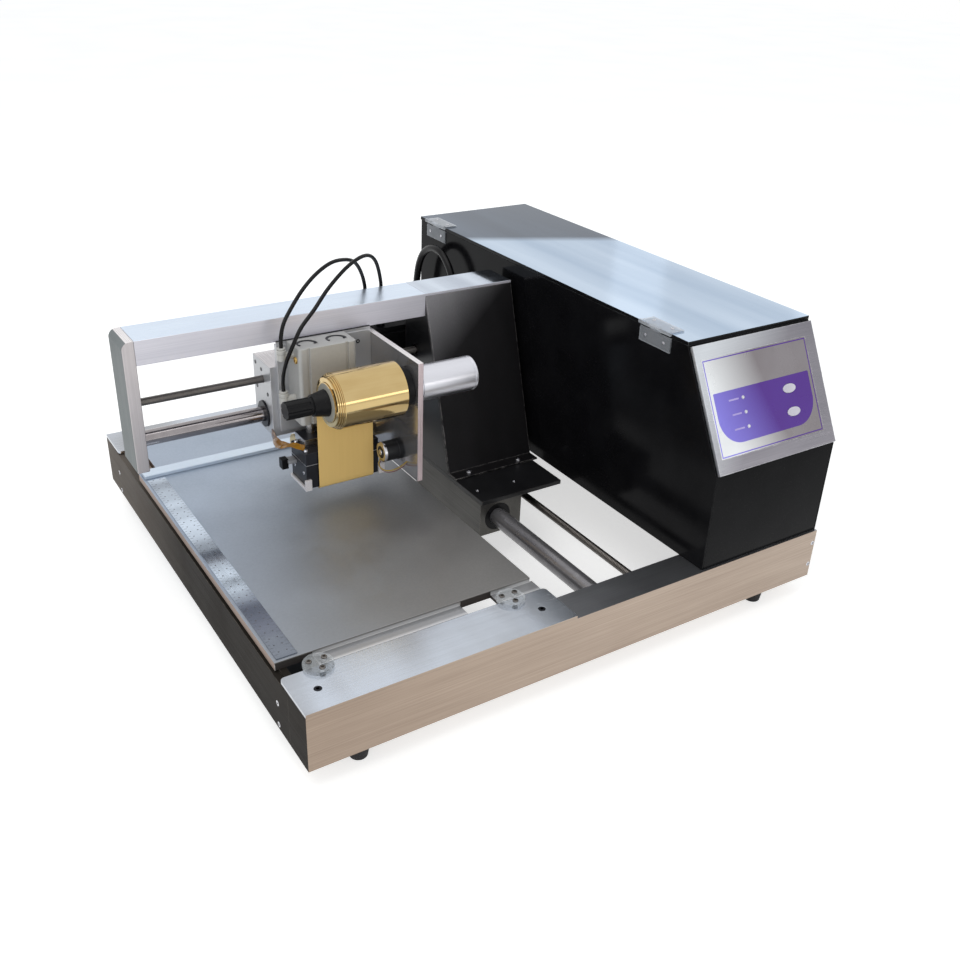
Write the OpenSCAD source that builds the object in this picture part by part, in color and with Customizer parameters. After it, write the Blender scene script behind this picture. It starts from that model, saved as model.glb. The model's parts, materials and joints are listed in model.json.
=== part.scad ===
// Flatbed hot foil printer with a cantilever gantry and a covered electronics housing.
// Millimetres. x runs from the left side plate, y from the front face and z up from the table;
// place() then moves every piece to the part's origin under the middle of the machine.

/* [Base frame] */
// Width over the side plates
base_w = 580; // [570:1:640]
// Depth over the front and rear bars
base_d = 565; // [560:1:620]
// Height of the rubber feet
foot_h = 20; // [12:1:30]
// Diameter of a foot at its top
foot_top_d = 22; // [16:1:30]
// Diameter of a foot at the table
foot_tip_d = 16; // [10:1:22]
// Distance of the left feet from the left side
foot_left = 53; // [20:1:90]
// Distance of the right feet from the right side
foot_right = 61; // [20:1:90]
// Height of the front and rear bars
bar_h = 56; // [54:1:64]
// Depth of the front and rear bars
bar_d = 36; // [30:1:42]
// Thickness of the side plates
side_t = 6; // [5:0.5:10]
// Height of the side plates
side_h = 54; // [48:1:54]
// Gap between the cover plates and the lengthwise guide shaft's axis
cover_gap = 57.5; // [34:0.5:63]
// Depth of the cover plates
cover_d = 51.5; // [44:0.5:56]
// Thickness of the cover plates
cover_t = 3; // [2.5:0.5:4]
// Radius of the cover plates' inner corners
cover_r = 4; // [3:0.5:10]
// Radius of a screw head
screw_head_r = 3.5; // [2.5:0.1:4.5]
// Height of a screw head
screw_head_h = 2; // [1.5:0.1:2.4]
// Radius of a screw shank
screw_r = 1.5; // [1:0.1:2]
// Distance of the front side screws from the front face
side_screw_front = 59; // [42:1:90]
// Distance of the rear side screws from the rear face
side_screw_rear = 42; // [41:1:90]
// Height of the lower side screws over the frame's underside
side_screw_low = 5; // [4:0.5:12]
// Height of the upper side screws over the frame's underside
side_screw_high = 28; // [20:1:44]
// Distance of the cover screws from the plate ends
cover_screw_x = 22; // [14:1:40]
// Distance of the cover screws from the front or rear face
cover_screw_y = 25; // [14:1:30]

/* [Bed] */
// Distance of the bed from the left side
bed_x = 2; // [1:0.5:8]
// Gap between the bed plate and the lengthwise guide shaft's axis
bed_gap = 64.5; // [60:0.5:90]
// Distance of the bed's front edge from the front face
bed_front = 66; // [62:1:80]
// Gap between the bed plate and the rear cover plate
bed_rear_gap = 1.5; // [0.5:0.5:10]
// Thickness of the bed plate
bed_t = 8; // [6:0.5:10]
// Width of the cut at the bed's rear left corner
bed_cut_w = 20; // [8:1:30]
// Distance from the left end of the bed to its front lip
lip_inset = 34; // [20:1:60]
// Reach of the front lip past the bed's right edge
lip_over = 3; // [0.5:0.5:6]
// Gap between the front lip and the cover plate
lip_gap = 0.6; // [0.3:0.1:2]
// Distance of the lip's window from the right end of the cover plate
window_right = 84; // [76:1:150]
// Width of the lip's window
window_w = 33; // [10:1:36]
// Distance of the right bed rail from the bed's right edge
rail_inset = 80; // [8:1:100]
// Thickness of the bed rails
rail_t = 6; // [4:1:12]
// Height of the bed rails
rail_h = 55; // [54:0.5:56]
// Distance of the steel rule from the bed's left edge
rule_inset = 3; // [1:0.5:10]
// Width of the steel rule
rule_w = 19; // [10:1:26]
// Gap between the steel rule and the back fence
rule_gap = 5; // [1:1:150]
// Gap between the steel rule and the bed's front edge
rule_front = 3; // [1:0.5:40]
// Thickness of the steel rule
rule_t = 1; // [0.6:0.1:1.5]
// Distance of the back fence's front edge from the bed's rear edge
fence_back = 88; // [82:1:90]
// Depth of the back fence
fence_d = 16; // [8:1:20]
// Height of the back fence
fence_h = 4; // [2:0.5:6]
// Radius of a clamp disc
disc_r = 13.5; // [10:0.5:16]
// Thickness of a clamp disc
disc_t = 3.5; // [2:0.5:5]
// Distance of the left clamp disc from the left side
disc_left_x = 34.5; // [20:0.5:60]
// Distance of the right clamp disc from the right end of the cover plate
disc_right = 39; // [25:1:50]
// Distance of the clamp discs from the front face
disc_y = 51; // [44:0.5:56]
// Radius of the circle of disc screws
disc_screw_ring = 8; // [6:0.5:9]
// Radius of a disc screw's head
disc_screw_r = 2.2; // [1.5:0.1:3]

/* [Shafts and screws] */
// Distance of the lengthwise guide shaft from the right side
y_shaft_right = 257.5; // [252:0.5:262]
// Height of the lengthwise shafts above the bars' underside
y_shaft_rise = 35; // [32:1:36]
// Distance from the guide shaft to the lead screw
y_screw_offset = 52.5; // [48:0.5:58]
// Diameter of the lengthwise guide shaft
y_shaft_d = 20; // [16:1:24]
// Diameter of the cross guide shaft
shaft_d = 16; // [12:1:18]
// Depth of the guide shafts' seats
shaft_seat = 9; // [6:0.5:11]
// Diameter of the lead screws
screw_d = 8; // [6:0.5:10]
// Depth of the lead screws' end bearings
screw_seat = 8; // [5:0.5:10]
// Running clearance on the radius
run_gap = 0.05; // [0.02:0.01:0.1]
// Outer diameter of a lengthwise bushing
y_bushing_d = 32; // [28:1:35]
// Outer diameter of a cross bushing
bushing_d = 28; // [24:1:30]
// Length of a linear bushing
bushing_l = 37; // [28:1:38]
// Side of the square motors
motor_w = 35; // [28:1:38]
// Length of the square motors
motor_l = 38; // [26:1:44]
// Diameter of the shaft couplings
coupling_d = 18; // [14:1:20]
// Length of the shaft couplings
coupling_l = 16; // [12:1:24]
// Diameter of the motor shafts
motor_shaft_d = 5; // [4:0.5:6]

/* [Gantry] */
// Distance of the carriage's front from the front face
carriage_y = 217; // [210:1:225]
// Distance from the guide shaft's axis to the carriage's left side
carriage_side = 22.5; // [20:0.5:26]
// Width of the carriage block
carriage_w = 53; // [46:1:58]
// Length of the carriage block
carriage_l = 140; // [110:1:150]
// Height of the carriage block
carriage_h = 40; // [36:1:42]
// Distance from the carriage's front to its nut lug
lug_back = 50; // [40:1:60]
// Length of the carriage's nut lug
lug_l = 40; // [20:1:60]
// Reach of the nut lug past the lead screw's axis
lug_over = 16; // [10:1:20]
// Width of the gantry's base plate
plate_w = 104; // [90:1:108]
// Thickness of the gantry's base plate
plate_t = 5; // [4:0.5:7]
// Reach of the base plate past the carriage's front
plate_over = 3; // [1:0.5:6]
// Width of the pillar
pillar_w = 110; // [100:1:112]
// Height of the pillar above the base plate
pillar_h = 193; // [190:1:200]
// Distance from the carriage's front to the pillar's foot
pillar_back = 66; // [60:1:72]
// Lean of the pillar's front between foot and top
pillar_lean = 57; // [50:1:60]
// Sheet thickness of the pillar
sheet_t = 3; // [2:0.5:4]
// Seam between pieces that are bolted together
seam = 0.2; // [0.1:0.05:0.5]
// Depth of the pillar cover's foot
foot_lip = 15; // [10:1:20]
// Depth of the beam
beam_d = 44; // [40:1:48]
// Height of the beam
beam_h = 25; // [20:1:26]
// Wall of the beam
beam_wall = 3; // [2:0.5:5]
// Overhang of the end plate past the left side
end_over = 22; // [16:1:30]
// Thickness of the end plate
end_t = 12; // [12:0.5:16]
// Height of the end plate
end_h = 136; // [130:1:150]
// Corner radius of the end plate
end_r = 8; // [4:0.5:10]
// Distance of the cross guide shaft below the gantry's top
x_shaft_drop = 110; // [104:1:114]
// Distance of the cross lead screw below the gantry's top
x_screw_drop = 71; // [68:1:74]
// Radius of the shaft seat inside the pillar
seat_r = 14; // [11:0.5:16]

/* [Head] */
// Distance of the head block's left end from the pillar
head_inset = 180; // [174:1:185]
// Length of the head block
head_l = 76; // [76:1:84]
// Depth of the head block
head_d = 46; // [46:0.5:50]
// Height of the head block
head_h = 77; // [70:1:84]
// Depth of the head block below the guide shaft's axis
head_below = 18; // [16:0.5:20]
// Thickness of the head's back plate
back_t = 6; // [4:0.5:8]
// Inset of the back plate from the head block's left end
back_inset = 6; // [2:1:12]
// Gap between the back plate and the beam's underside
back_gap = 1; // [0.5:0.5:6]
// Height of the back plate
back_h = 95; // [80:1:97]
// Distance of the side plate from the head block's left end
side_plate_x = 111; // [108:0.5:116]
// Thickness of the side plate
side_plate_t = 6; // [4:0.5:7]
// Reach of the side plate in front of the beam
side_plate_front = 107; // [98:1:120]
// Reach of the side plate behind the beam's front
side_plate_back = 10; // [6:1:12]
// Height of the side plate
side_plate_h = 130; // [122:1:132]
// Distance of the side plate's top below the gantry's top
side_plate_drop = 29; // [27:1:34]
// Distance of the air cylinder from the head block's left end
cyl_x = 17; // [16:1:20]
// Width of the air cylinder
cyl_w = 63; // [58:1:70]
// Depth of the air cylinder
cyl_d = 30; // [28:1:30]
// Height of the air cylinder
cyl_h = 82; // [70:1:84]
// Distance of the air cylinder's top below the gantry's top
cyl_drop = 23; // [20:1:25]
// Distance between the cylinder's bores
bore_pitch = 32; // [28:1:34]
// Diameter of the cylinder's bores
bore_d = 20; // [16:1:22]
// Diameter of the piston rods
rod_d = 10; // [8:0.5:12]
// Thickness of the pistons
piston_t = 8; // [5:0.5:10]
// Thickness of the cylinder's ends
cyl_end = 8; // [6:0.5:10]
// Length of a vertical socket of an elbow fitting
elbow_h = 14; // [10:1:18]
// Distance of the elbow's axis from the cylinder
elbow_out = 12; // [9:0.5:12]
// Radius of an elbow fitting
elbow_r = 5; // [4:0.5:6]
// Distance between the elbow fittings
elbow_pitch = 46; // [40:1:50]
// Diameter of the air tubes
tube_d = 4; // [3:0.5:4]
// Distance of the valve bracket from the head block's left end
bracket_x = 30; // [10:1:50]
// Thickness of the valve bracket
bracket_t = 4; // [3:0.5:6]
// Distance of the air valve from the head block's left end
valve_x = 126; // [116:1:130]
// Width of the air valve
valve_w = 68; // [40:1:72]
// Depth of the air valve
valve_d = 18; // [14:1:24]
// Height of the air valve
valve_h = 42; // [30:1:48]
// Distance of the air valve's top below the gantry's top
valve_drop = 51; // [46:1:56]
// Height of the valve's ports
port_h = 10; // [8:1:14]
// Distance of the first port from the valve's left side
port_inset = 11; // [8:1:12]
// Distance between the ports
port_pitch = 19; // [14:1:20]

/* [Foil path and print head] */
// Distance of the foil spool's axis in front of the beam
spool_front = 85; // [82:1:88]
// Distance of the foil spool's axis below the gantry's top
spool_drop = 60; // [56:1:64]
// Radius of the foil roll
roll_r = 28; // [22:0.5:29]
// Width of the foil roll
foil_w = 76.5; // [68:0.5:76.5]
// Distance of the foil roll from the head block's left end
foil_x = 21.5; // [20:0.5:22]
// Width of the foil web
web_w = 62; // [50:1:62]
// Distance of the web from the roll's left end
web_in = 2.5; // [1:0.5:4]
// Radius of the spool's arbor
arbor_r = 13; // [9:0.5:15]
// Radius of the spool's right flange
spool_flange_r = 20; // [16:0.5:24]
// Length of the spool's hub
cone_l = 15; // [12:1:18]
// Radius of the hub's left end
hub_r = 10.5; // [10:0.25:12]
// Widening of the hub over the arbor
hub_step = 0.5; // [0.25:0.25:2]
// Length of the spool's knob
knob_l = 27; // [18:1:28]
// Radius of the spool's knob
knob_r = 9; // [7:0.5:11]
// Radius of the spindles in the side plate
spindle_r = 4; // [3:0.5:5]
// Radius of the spool motor
spool_motor_r = 18; // [14:0.5:18]
// Length of the spool motor
spool_motor_l = 68; // [50:1:72]
// Radius of the foil feed motor
feed_motor_r = 11; // [8:0.5:11]
// Length of the foil feed motor
feed_motor_l = 22; // [16:1:24]
// Distance of the feed motor in front of the beam
feed_front = 70; // [70:1:76]
// Distance of the feed motor below the gantry's top
feed_drop = 136; // [130:1:140]
// Distance of the take-up spool's axis in front of the beam
take_front = 2; // [1:0.5:3]
// Distance of the take-up spool below the gantry's top
take_drop = 141; // [141:0.5:146]
// Radius of the take-up spool
take_r = 10; // [7:0.5:10]
// Radius of the take-up spool's flanges
take_flange_r = 11.5; // [11:0.5:11.5]
// Thickness of the foil web
web_t = 0.3; // [0.2:0.05:0.4]
// Gap between the foil web and its rollers
web_gap = 0.1; // [0.1:0.05:0.2]
// Gap between the foil web and the heated ridge
web_clear = 0.3; // [0.2:0.05:0.4]
// Thickness of the tool plate
tool_t = 8; // [6:0.5:9]
// Distance of the tool plate behind the print head's front
tool_in = 15; // [8:1:20]
// Distance of the print head from the head block's left end
print_x = 11; // [9:1:12]
// Width of the print head
print_w = 82; // [80:1:82]
// Depth of the print head
print_d = 37; // [30:1:37]
// Height of the print head
print_h = 40; // [34:1:40]
// Distance of the print head's front before the beam
print_front = 55; // [54:0.5:55]
// Distance of the print head's underside below the gantry's top
print_drop = 167; // [164:0.5:167]
// Width of the heated ridge
ridge_w = 8; // [4:0.5:14]
// Height of the heated ridge
ridge_h = 1; // [0.5:0.1:1]
// Thickness of the head guards
guard_t = 2.5; // [2:0.5:3]
// Height of the head guards
guard_h = 12; // [8:0.5:14]
// Distance of the guards' underside below the print head
guard_drop = 0.7; // [0.5:0.1:0.7]
// Width of the guards' front tabs
tab_w = 7; // [5:0.5:7]
// Thickness of the guards' front tabs
tab_t = 3; // [2:0.25:3]
// Overlap of the right tab over the print head's front
tab_in = 1; // [0.5:0.25:1.5]

/* [Housing] */
// Width of the housing
housing_w = 161; // [150:1:161]
// Recess of the rear panel from the base's rear face
rear_recess = 7; // [7:0.5:20]
// Distance of the housing's front from the base's front face
housing_y = 3; // [3:0.5:8]
// Height of the housing's upright front
front_h = 101; // [90:1:110]
// Run of the sloped panel
slope_run = 60; // [50:1:70]
// Rise of the sloped panel
slope_rise = 111; // [105:1:118]
// Wall of the housing
wall_t = 2; // [1.5:0.5:3]
// Thickness of the lid
lid_t = 4; // [3:0.5:6]
// Thickness of the control panel
panel_t = 4; // [3.5:0.5:5]
// Margin of the control panel on the slope
panel_margin = 1.5; // [1.5:0.5:3]
// Distance of the overlay from the housing's left side
overlay_x = 8; // [6:0.5:10]
// Width of the overlay
overlay_w = 138; // [130:1:140]
// Distance of the overlay up the slope
overlay_up = 16; // [10:0.5:18]
// Height of the overlay
overlay_h = 94.5; // [90:0.5:96]
// Thickness of the overlay
overlay_t = 0.8; // [0.5:0.1:1]
// Length of an oval button
button_l = 17.4; // [14:0.1:20]
// Height of an oval button
button_h = 9; // [7:0.1:10]
// Gap around a button
button_gap = 0.4; // [0.3:0.05:0.6]
// Rise of a button above the overlay
button_rise = 1; // [0.5:0.1:1.5]
// Travel of a button
button_travel = 1; // [0.5:0.1:1.2]
// Distance of the buttons from the housing's left side
button_x = 111; // [100:1:120]
// Distance of the upper button up the slope
button_up = 65; // [60:1:72]
// Distance between the buttons
button_pitch = 23; // [18:0.5:26]
// Radius of a status lamp
lamp_r = 1.6; // [1:0.1:2.5]
// Distance of the lamps from the housing's left side
lamp_x = 49.5; // [40:0.5:60]
// Distance of the upper lamp up the slope
lamp_up = 68; // [64:0.5:76]
// Distance between the lamps
lamp_pitch = 14; // [10:0.5:16]
// Length of a lid hinge
hinge_l = 44; // [30:1:60]
// Leaf width of a lid hinge
hinge_leaf = 15; // [12:1:26]
// Leaf thickness of a lid hinge
hinge_t = 1.5; // [1:0.1:1.5]
// Radius of a hinge knuckle
knuckle_r = 2.2; // [2:0.1:2.4]
// Radius of a hinge pin
pin_r = 1.2; // [0.8:0.1:1.4]
// Distance of the front hinge from the housing's front
hinge_inset = 104; // [86:1:120]
// Distance of the rear hinge from the rear panel
hinge_rear = 39; // [30:1:80]

/* [Electronics] */
// Width of the power supply
supply_w = 110; // [90:1:120]
// Depth of the power supply
supply_d = 160; // [120:1:180]
// Height of the power supply
supply_h = 50; // [35:1:60]
// Distance of the power supply from the rear panel
supply_rear = 65; // [40:1:90]
// Width of the control board
board_w = 130; // [110:1:140]
// Depth of the control board
board_d = 160; // [120:1:180]
// Thickness of the control board
board_t = 1.6; // [1:0.1:2.4]
// Distance of the control board from the housing's front
board_y = 90; // [60:1:110]
// Width of the heat sink
sink_w = 30; // [20:1:40]
// Depth of the heat sink
sink_d = 60; // [40:1:70]
// Height of the heat sink
sink_h = 22; // [12:1:30]
// Inset of the heat sink on the board
sink_in = 20; // [12:1:30]
// Depth of the board's terminal strip
strip_d = 10; // [6:1:14]
// Height of the board's terminal strip
strip_h = 9; // [6:1:14]
// Inset of the board's terminal strip
strip_in = 10; // [4:1:20]
// Radius of the board's capacitors
cap_r = 6; // [4:0.5:7]
// Height of the board's capacitors
cap_h = 18; // [10:1:26]
// Distance between the board's capacitors
cap_pitch = 16; // [15:0.5:18]
// Inset of the board's studs
stud_in = 6; // [4:0.5:10]
// Height of the board's studs
stud_h = 8; // [5:0.5:12]
// Radius of the board's studs
stud_r = 3; // [2:0.5:4]
// Distance of the power inlet from the housing's left side
inlet_x = 115; // [100:1:125]
// Distance of the power inlet above the bars
inlet_z = 54; // [45:1:70]
// Width of the power inlet's flange
inlet_w = 36; // [34:1:40]
// Height of the power inlet's flange
inlet_h = 60; // [58:1:66]
// Thickness of the power inlet's flange
inlet_t = 3; // [2:0.5:4]
// Depth of the power inlet behind the rear panel
inlet_d = 18; // [16:1:24]
// Width of the power socket
socket_w = 23; // [20:1:24]
// Height of the power socket
socket_h = 16; // [14:1:18]
// Depth of the power socket
socket_d = 15; // [12:0.5:16]
// Width of the rocker
rocker_w = 19; // [14:0.5:20]
// Height of the rocker
rocker_h = 17.6; // [14:0.2:18]
// Tilt of the rocker at rest
rocker_tilt = 8; // [4:1:10]
// Distance of the air inlet from the housing's left side
air_x = 31; // [20:1:60]
// Distance of the air inlet above the bars
air_z = 54; // [30:1:90]
// Radius of the air inlet's bore
air_bore_r = 3; // [2:0.5:4]
// Radius of the air inlet's body
air_body_r = 7; // [6:0.5:9]
// Reach of the air inlet behind the rear panel
air_out = 7; // [5:0.5:7]
// Diameter of the cable loop
loop_d = 9; // [7:0.5:10]
// Height of the cable's gland on the rear bar
gland_h = 16; // [12:1:24]
// Radius of the cable's glands
gland_r = 8; // [6:0.5:9]

/* [Hidden] */
$fn = 64;
eps = 0.01;

// Small fixed sizes: how far cuts and joints run past a face, and the play of fitted pieces
past = 1;
coupling_gap = 1;
piston_gap = 0.5;
hub_gap = 2.5;
spindle_in = 0.5;
knuckle_gap = 0.3;
knuckle_play = 0.4;
hinge_rise = 0.2;
leaf_drop = 0.5;
leaf_neck = 2;
key_gap = 0.3;
// Screws, seats and mounts
screw_len = 8;
end_screw_shares = [0.28, 0.76];
end_head_less = 1;
disc_angles = [30, 150, 270];
disc_head_h = 1.2;
fence_in = 2;
motor_bore = 9;
motor_grip = 8;
mount_share = 0.37;
mount_r = 3;
screw_way = 2;
foot_lip_h = 2;
bushing_out = 2;
// Cylinder, fittings and foil path
cyl_corner = 4;
ring_h = 1.2;
ring_over = 1;
groove_left = 9;
groove_right = 12;
groove_w = 3;
groove_d = 2;
elbow_neck = 1;
tube_sides = 8;
tube_ref = [-80, 132, 0];
loop_sides = 10;
loop_ref = [1, 0, 0];
bracket_low = 6;
feed_boss_l = 2;
feed_boss_share = 0.6;
web_behind = 1.5;
front_bend = [[0, 4], [1.2, 1.2], [4, 0]];
back_bend = [[-3, 0], [-0.8, 0.6], [0, 2.4]];
grip_angles = [0:45:315];
grip_r = 1.6;
grip_out = 0.6;
grip_end = 3;
take_in = 3;
take_flange_t = 2;
tool_side = 6;
// Housing fittings
inlet_rim = 4;
inlet_shift = 1;
prongs_at = [[-7, -4], [7, -4], [0, -3]];
prong_w = 2;
prong_h = 4;
prong_in = 3;
rocker_side = 0.5;
rocker_end = 1.2;
rocker_hole = 12;
rocker_axis = 1;
rocker_t = 10;
air_neck = 2;
air_nut_l = 8;
air_depth = 5;
vents = 5;
vent_drop = 80;
vent_pitch = 10;
vent_h = 4;
lamps = 3;
lamp_rise = 0.6;
lid_over = 2;
caps = 3;
gland_in = 6;
boss_in = 12;
boss_rise = 38;
boss_out = 8;

origin_x = (base_w - end_over) / 2;
origin_y = base_d / 2;
bar_top = foot_h + bar_h;
cover_top = bar_top + cover_t;
bed_top = bar_top + bed_t;
y_shaft_x = base_w - y_shaft_right;
cover_l = y_shaft_x - cover_gap;
bed_w = y_shaft_x - bed_gap - bed_x;
bed_back = base_d - cover_d - bed_rear_gap;
fence_y = bed_back - fence_back;
rule_l = fence_y - rule_gap - bed_front - rule_front;
window_x = cover_l - window_right;
disc_right_x = cover_l - disc_right;
rear_face = base_d - bar_d;
disc_top = cover_top + disc_t;
y_shaft_z = foot_h + y_shaft_rise;
y_screw_x = y_shaft_x + y_screw_offset;
y_motor_y = rear_face - motor_l;
y_coupling_end = y_motor_y - coupling_gap;
side_screws = [
    for (y = [side_screw_front, base_d - side_screw_rear], up = [side_screw_low, side_screw_high])
        [y, foot_h + up]
];
end_screws = [for (share = end_screw_shares) foot_h + side_h * share];
end_screw_x = base_w - side_t / 2;
end_head_r = screw_head_r - end_head_less;

carriage_x = y_shaft_x - carriage_side;
carriage_z = y_shaft_z - carriage_h / 2;
plate_x = carriage_x;
plate_y = carriage_y - plate_over;
plate_z = carriage_z + carriage_h;
plate_top = plate_z + plate_t;
pillar_end = plate_x + pillar_w;
pillar_y = carriage_y + pillar_back;
beam_y = pillar_y + pillar_lean;
gantry_back = beam_y + beam_d;
gantry_top = plate_top + pillar_h;
wall_top = gantry_top - sheet_t;
beam_z = gantry_top - beam_h;
end_in = end_t - end_over;
x_axis_y = beam_y + beam_d / 2;
x_shaft_z = gantry_top - x_shaft_drop;
x_screw_z = gantry_top - x_screw_drop;
x_coupling_x = plate_x + sheet_t + coupling_gap;
x_motor_x = x_coupling_x + coupling_l + 2 * coupling_gap;
seat_end = plate_x + sheet_t + shaft_seat;
mount = motor_w * mount_share;

head_x = plate_x - head_inset;
block_z = x_shaft_z - head_below;
block_back = beam_y + head_d;
back_y = beam_y - back_t;
back_top = beam_z - back_gap;
side_x = head_x + side_plate_x;
side_end = side_x + side_plate_t;
cyl_left = head_x + cyl_x;
cyl_y = back_y - cyl_d;
cyl_top = gantry_top - cyl_drop;
cyl_z = cyl_top - cyl_h;
rod_y_at = cyl_y + cyl_d / 2;
rod_xs = [cyl_left + (cyl_w - bore_pitch) / 2, cyl_left + (cyl_w + bore_pitch) / 2];
piston_top = cyl_top - cyl_end - piston_gap;
elbow_x = cyl_left - elbow_out;
elbow_tops = [cyl_top, cyl_top - elbow_pitch];
spool_y = beam_y - spool_front;
spool_z = gantry_top - spool_drop;
roll_x = head_x + foil_x;
roll_end = roll_x + foil_w;
web_left = roll_x + web_in;
web_right = web_left + web_w;
hub_end = side_x - hub_gap;
spindle_end = side_end - spindle_in;
take_y = beam_y - take_front;
take_z = gantry_top - take_drop;
feed_y = beam_y - feed_front;
feed_z = gantry_top - feed_drop;
print_left = head_x + print_x;
print_end = print_left + print_w;
print_y = beam_y - print_front;
print_back = print_y + print_d;
print_z = gantry_top - print_drop;
print_top = print_z + print_h;
tool_top = print_top + tool_t;
web_y = spool_y + roll_r + web_gap + web_t / 2;
web_z = print_z - ridge_h - web_clear - web_t / 2;
web_up = take_y - take_r - web_gap - web_t / 2;
valve_left = head_x + valve_x;
valve_y = block_back + bracket_t;
valve_top = gantry_top - valve_drop;
port_y = valve_y + valve_d / 2;
port_top = valve_top + port_h;

housing_x = base_w - housing_w;
housing_back = base_d - rear_recess;
floor_top = bar_top + wall_t;
slope_z = bar_top + front_h;
housing_top = slope_z + slope_rise;
lid_y = housing_y + slope_run;
lid_top = housing_top + lid_t;
slope_angle = atan2(slope_rise, slope_run);
slope_l = norm([slope_run, slope_rise]);
slope_wall = wall_t / sin(slope_angle);
hinge_x = housing_x - knuckle_r - knuckle_gap;
hinge_z = lid_top + hinge_rise;
hinge_ys = [housing_y + hinge_inset, housing_back - hinge_rear];
button_low = button_up - button_pitch;
inlet_at = [housing_x + inlet_x, bar_top + inlet_z];
socket_z = inlet_at[1] - inlet_h / 4 + inlet_shift;
rocker_z = inlet_at[1] + inlet_h / 4 - inlet_shift;
air_at = [housing_x + air_x, bar_top + air_z];
board_x = housing_x + (housing_w - board_w) / 2;
board_front = housing_y + board_y;
board_z = floor_top + stud_h;
gland_at = [pillar_end - gland_in, base_d - bar_d / 2];
boss_at = [pillar_end - boss_in, plate_top + boss_rise];
boss_end = gantry_back + boss_out;

// Routes of the tubes and of the cable, with each end carried along by its fitting
upper_route = [[125, 319, 250], [126, 320, 261], [131, 324, 272], [140, 329, 282], [156, 335, 298],
    [175, 343, 310], [196, 352, 317], [216, 362, 315], [232, 372, 308], [245, 383, 293],
    [254, 392, 273], [257, 398, 252], [257, 399, 242], [257, 399, 232]];
lower_route = [[125, 319, 204], [125, 319, 214], [125, 315, 226], [127, 310, 240], [134, 310, 254],
    [145, 314, 269], [163, 322, 282], [186, 335, 298], [216, 351, 312], [243, 366, 315],
    [262, 381, 302], [273, 391, 275], [276, 398, 252], [276, 399, 242], [276, 399, 232]];
loop_route = [[398, 392, 118], [398, 402, 118], [399, 416, 122], [400, 429, 131], [402, 439, 147],
    [403, 444, 168], [404, 447, 192], [404, 449, 216], [404, 454, 238], [404, 466, 256],
    [404, 484, 267], [404, 505, 267], [404, 524, 257], [404, 536, 240], [404, 542, 218],
    [404, 545, 194], [404, 547, 169], [404, 547, 145], [404, 547, 121], [404, 547, 102], [404, 547, 92]];

function carried(route, a, b) = let (n = len(route) - 1)
    [for (i = [0:n]) route[i] + (1 - i / n) * (a - route[0]) + i / n * (b - route[n])];
function heading(p, i) = let (d = p[min(i + 1, len(p) - 1)] - p[max(i - 1, 0)]) d / norm(d);
function across(p, i, ref) = let (s = cross(heading(p, i), ref)) s / norm(s);
function ring(p, i, r, n, ref) = let (s = across(p, i, ref), u = cross(s, heading(p, i)))
    [for (k = [0:n - 1]) p[i] + r * (cos(360 * k / n) * s + sin(360 * k / n) * u)];
function turned(p, i) = let (d = heading(p, i)) [-d[1], d[0]];
function strip(p, t) = concat([for (i = [0:len(p) - 1]) p[i] + turned(p, i) * t / 2],
    [for (i = [len(p) - 1:-1:0]) p[i] - turned(p, i) * t / 2]);

module place() {
    translate([-origin_x, -origin_y, 0]) children();
}

module slab(x, y, z) {
    translate([x[0], y[0], z[0]]) cube([x[1] - x[0], y[1] - y[0], z[1] - z[0]]);
}

module rod_x(x, at, r) {
    translate([x[0], at[0], at[1]]) rotate([0, 90, 0]) cylinder(h = x[1] - x[0], r = r);
}

module rod_y(y, at, r) {
    translate([at[0], y[0], at[1]]) rotate([-90, 0, 0]) cylinder(h = y[1] - y[0], r = r);
}

module rod_z(z, at, r) {
    translate([at[0], at[1], z[0]]) cylinder(h = z[1] - z[0], r = r);
}

module along_x(x) {
    translate([x[0], 0, 0]) rotate([90, 0, 90]) linear_extrude(x[1] - x[0]) children();
}

module on_slope() {
    translate([housing_x, housing_y, slope_z]) rotate([slope_angle, 0, 0]) children();
}

module tube(p, r, n, ref) {
    points = [for (i = [0:len(p) - 1]) each ring(p, i, r, n, ref)];
    last = (len(p) - 1) * n;
    sides = [for (i = [0:len(p) - 2], k = [0:n - 1])
        [i * n + k, i * n + (k + 1) % n, (i + 1) * n + (k + 1) % n, (i + 1) * n + k]];
    ends = [[for (k = [n - 1:-1:0]) k], [for (k = [0:n - 1]) last + k]];
    polyhedron(points = points, faces = concat(sides, ends));
}

module oval(l, h) {
    translate([-(l - h) / 2, -h / 2]) square([l - h, h]);
    translate([-(l - h) / 2, 0]) circle(d = h);
    translate([(l - h) / 2, 0]) circle(d = h);
}

module bar_blank(y) {
    slab([0, base_w], [y, y + bar_d], [foot_h, bar_top]);
}

module cover_screw_holes(y) {
    for (x = [cover_screw_x, cover_l - cover_screw_x]) {
        rod_z([bar_top - screw_len, bar_top + eps], [x, y], screw_r);
    }
}

module front_bar() {
    color([0.70, 0.66, 0.62]) place() difference() {
        bar_blank(0);
        rod_y([bar_d - shaft_seat, bar_d + eps], [y_shaft_x, y_shaft_z], y_shaft_d / 2);
        rod_y([bar_d - screw_seat - past, bar_d + eps], [y_screw_x, y_shaft_z], screw_d / 2 + run_gap);
        cover_screw_holes(cover_screw_y);
        for (z = end_screws) {
            rod_y([-eps, screw_head_h], [end_screw_x, z], end_head_r);
            rod_y([0, bar_d + eps], [end_screw_x, z], screw_r);
        }
    }
}

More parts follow.
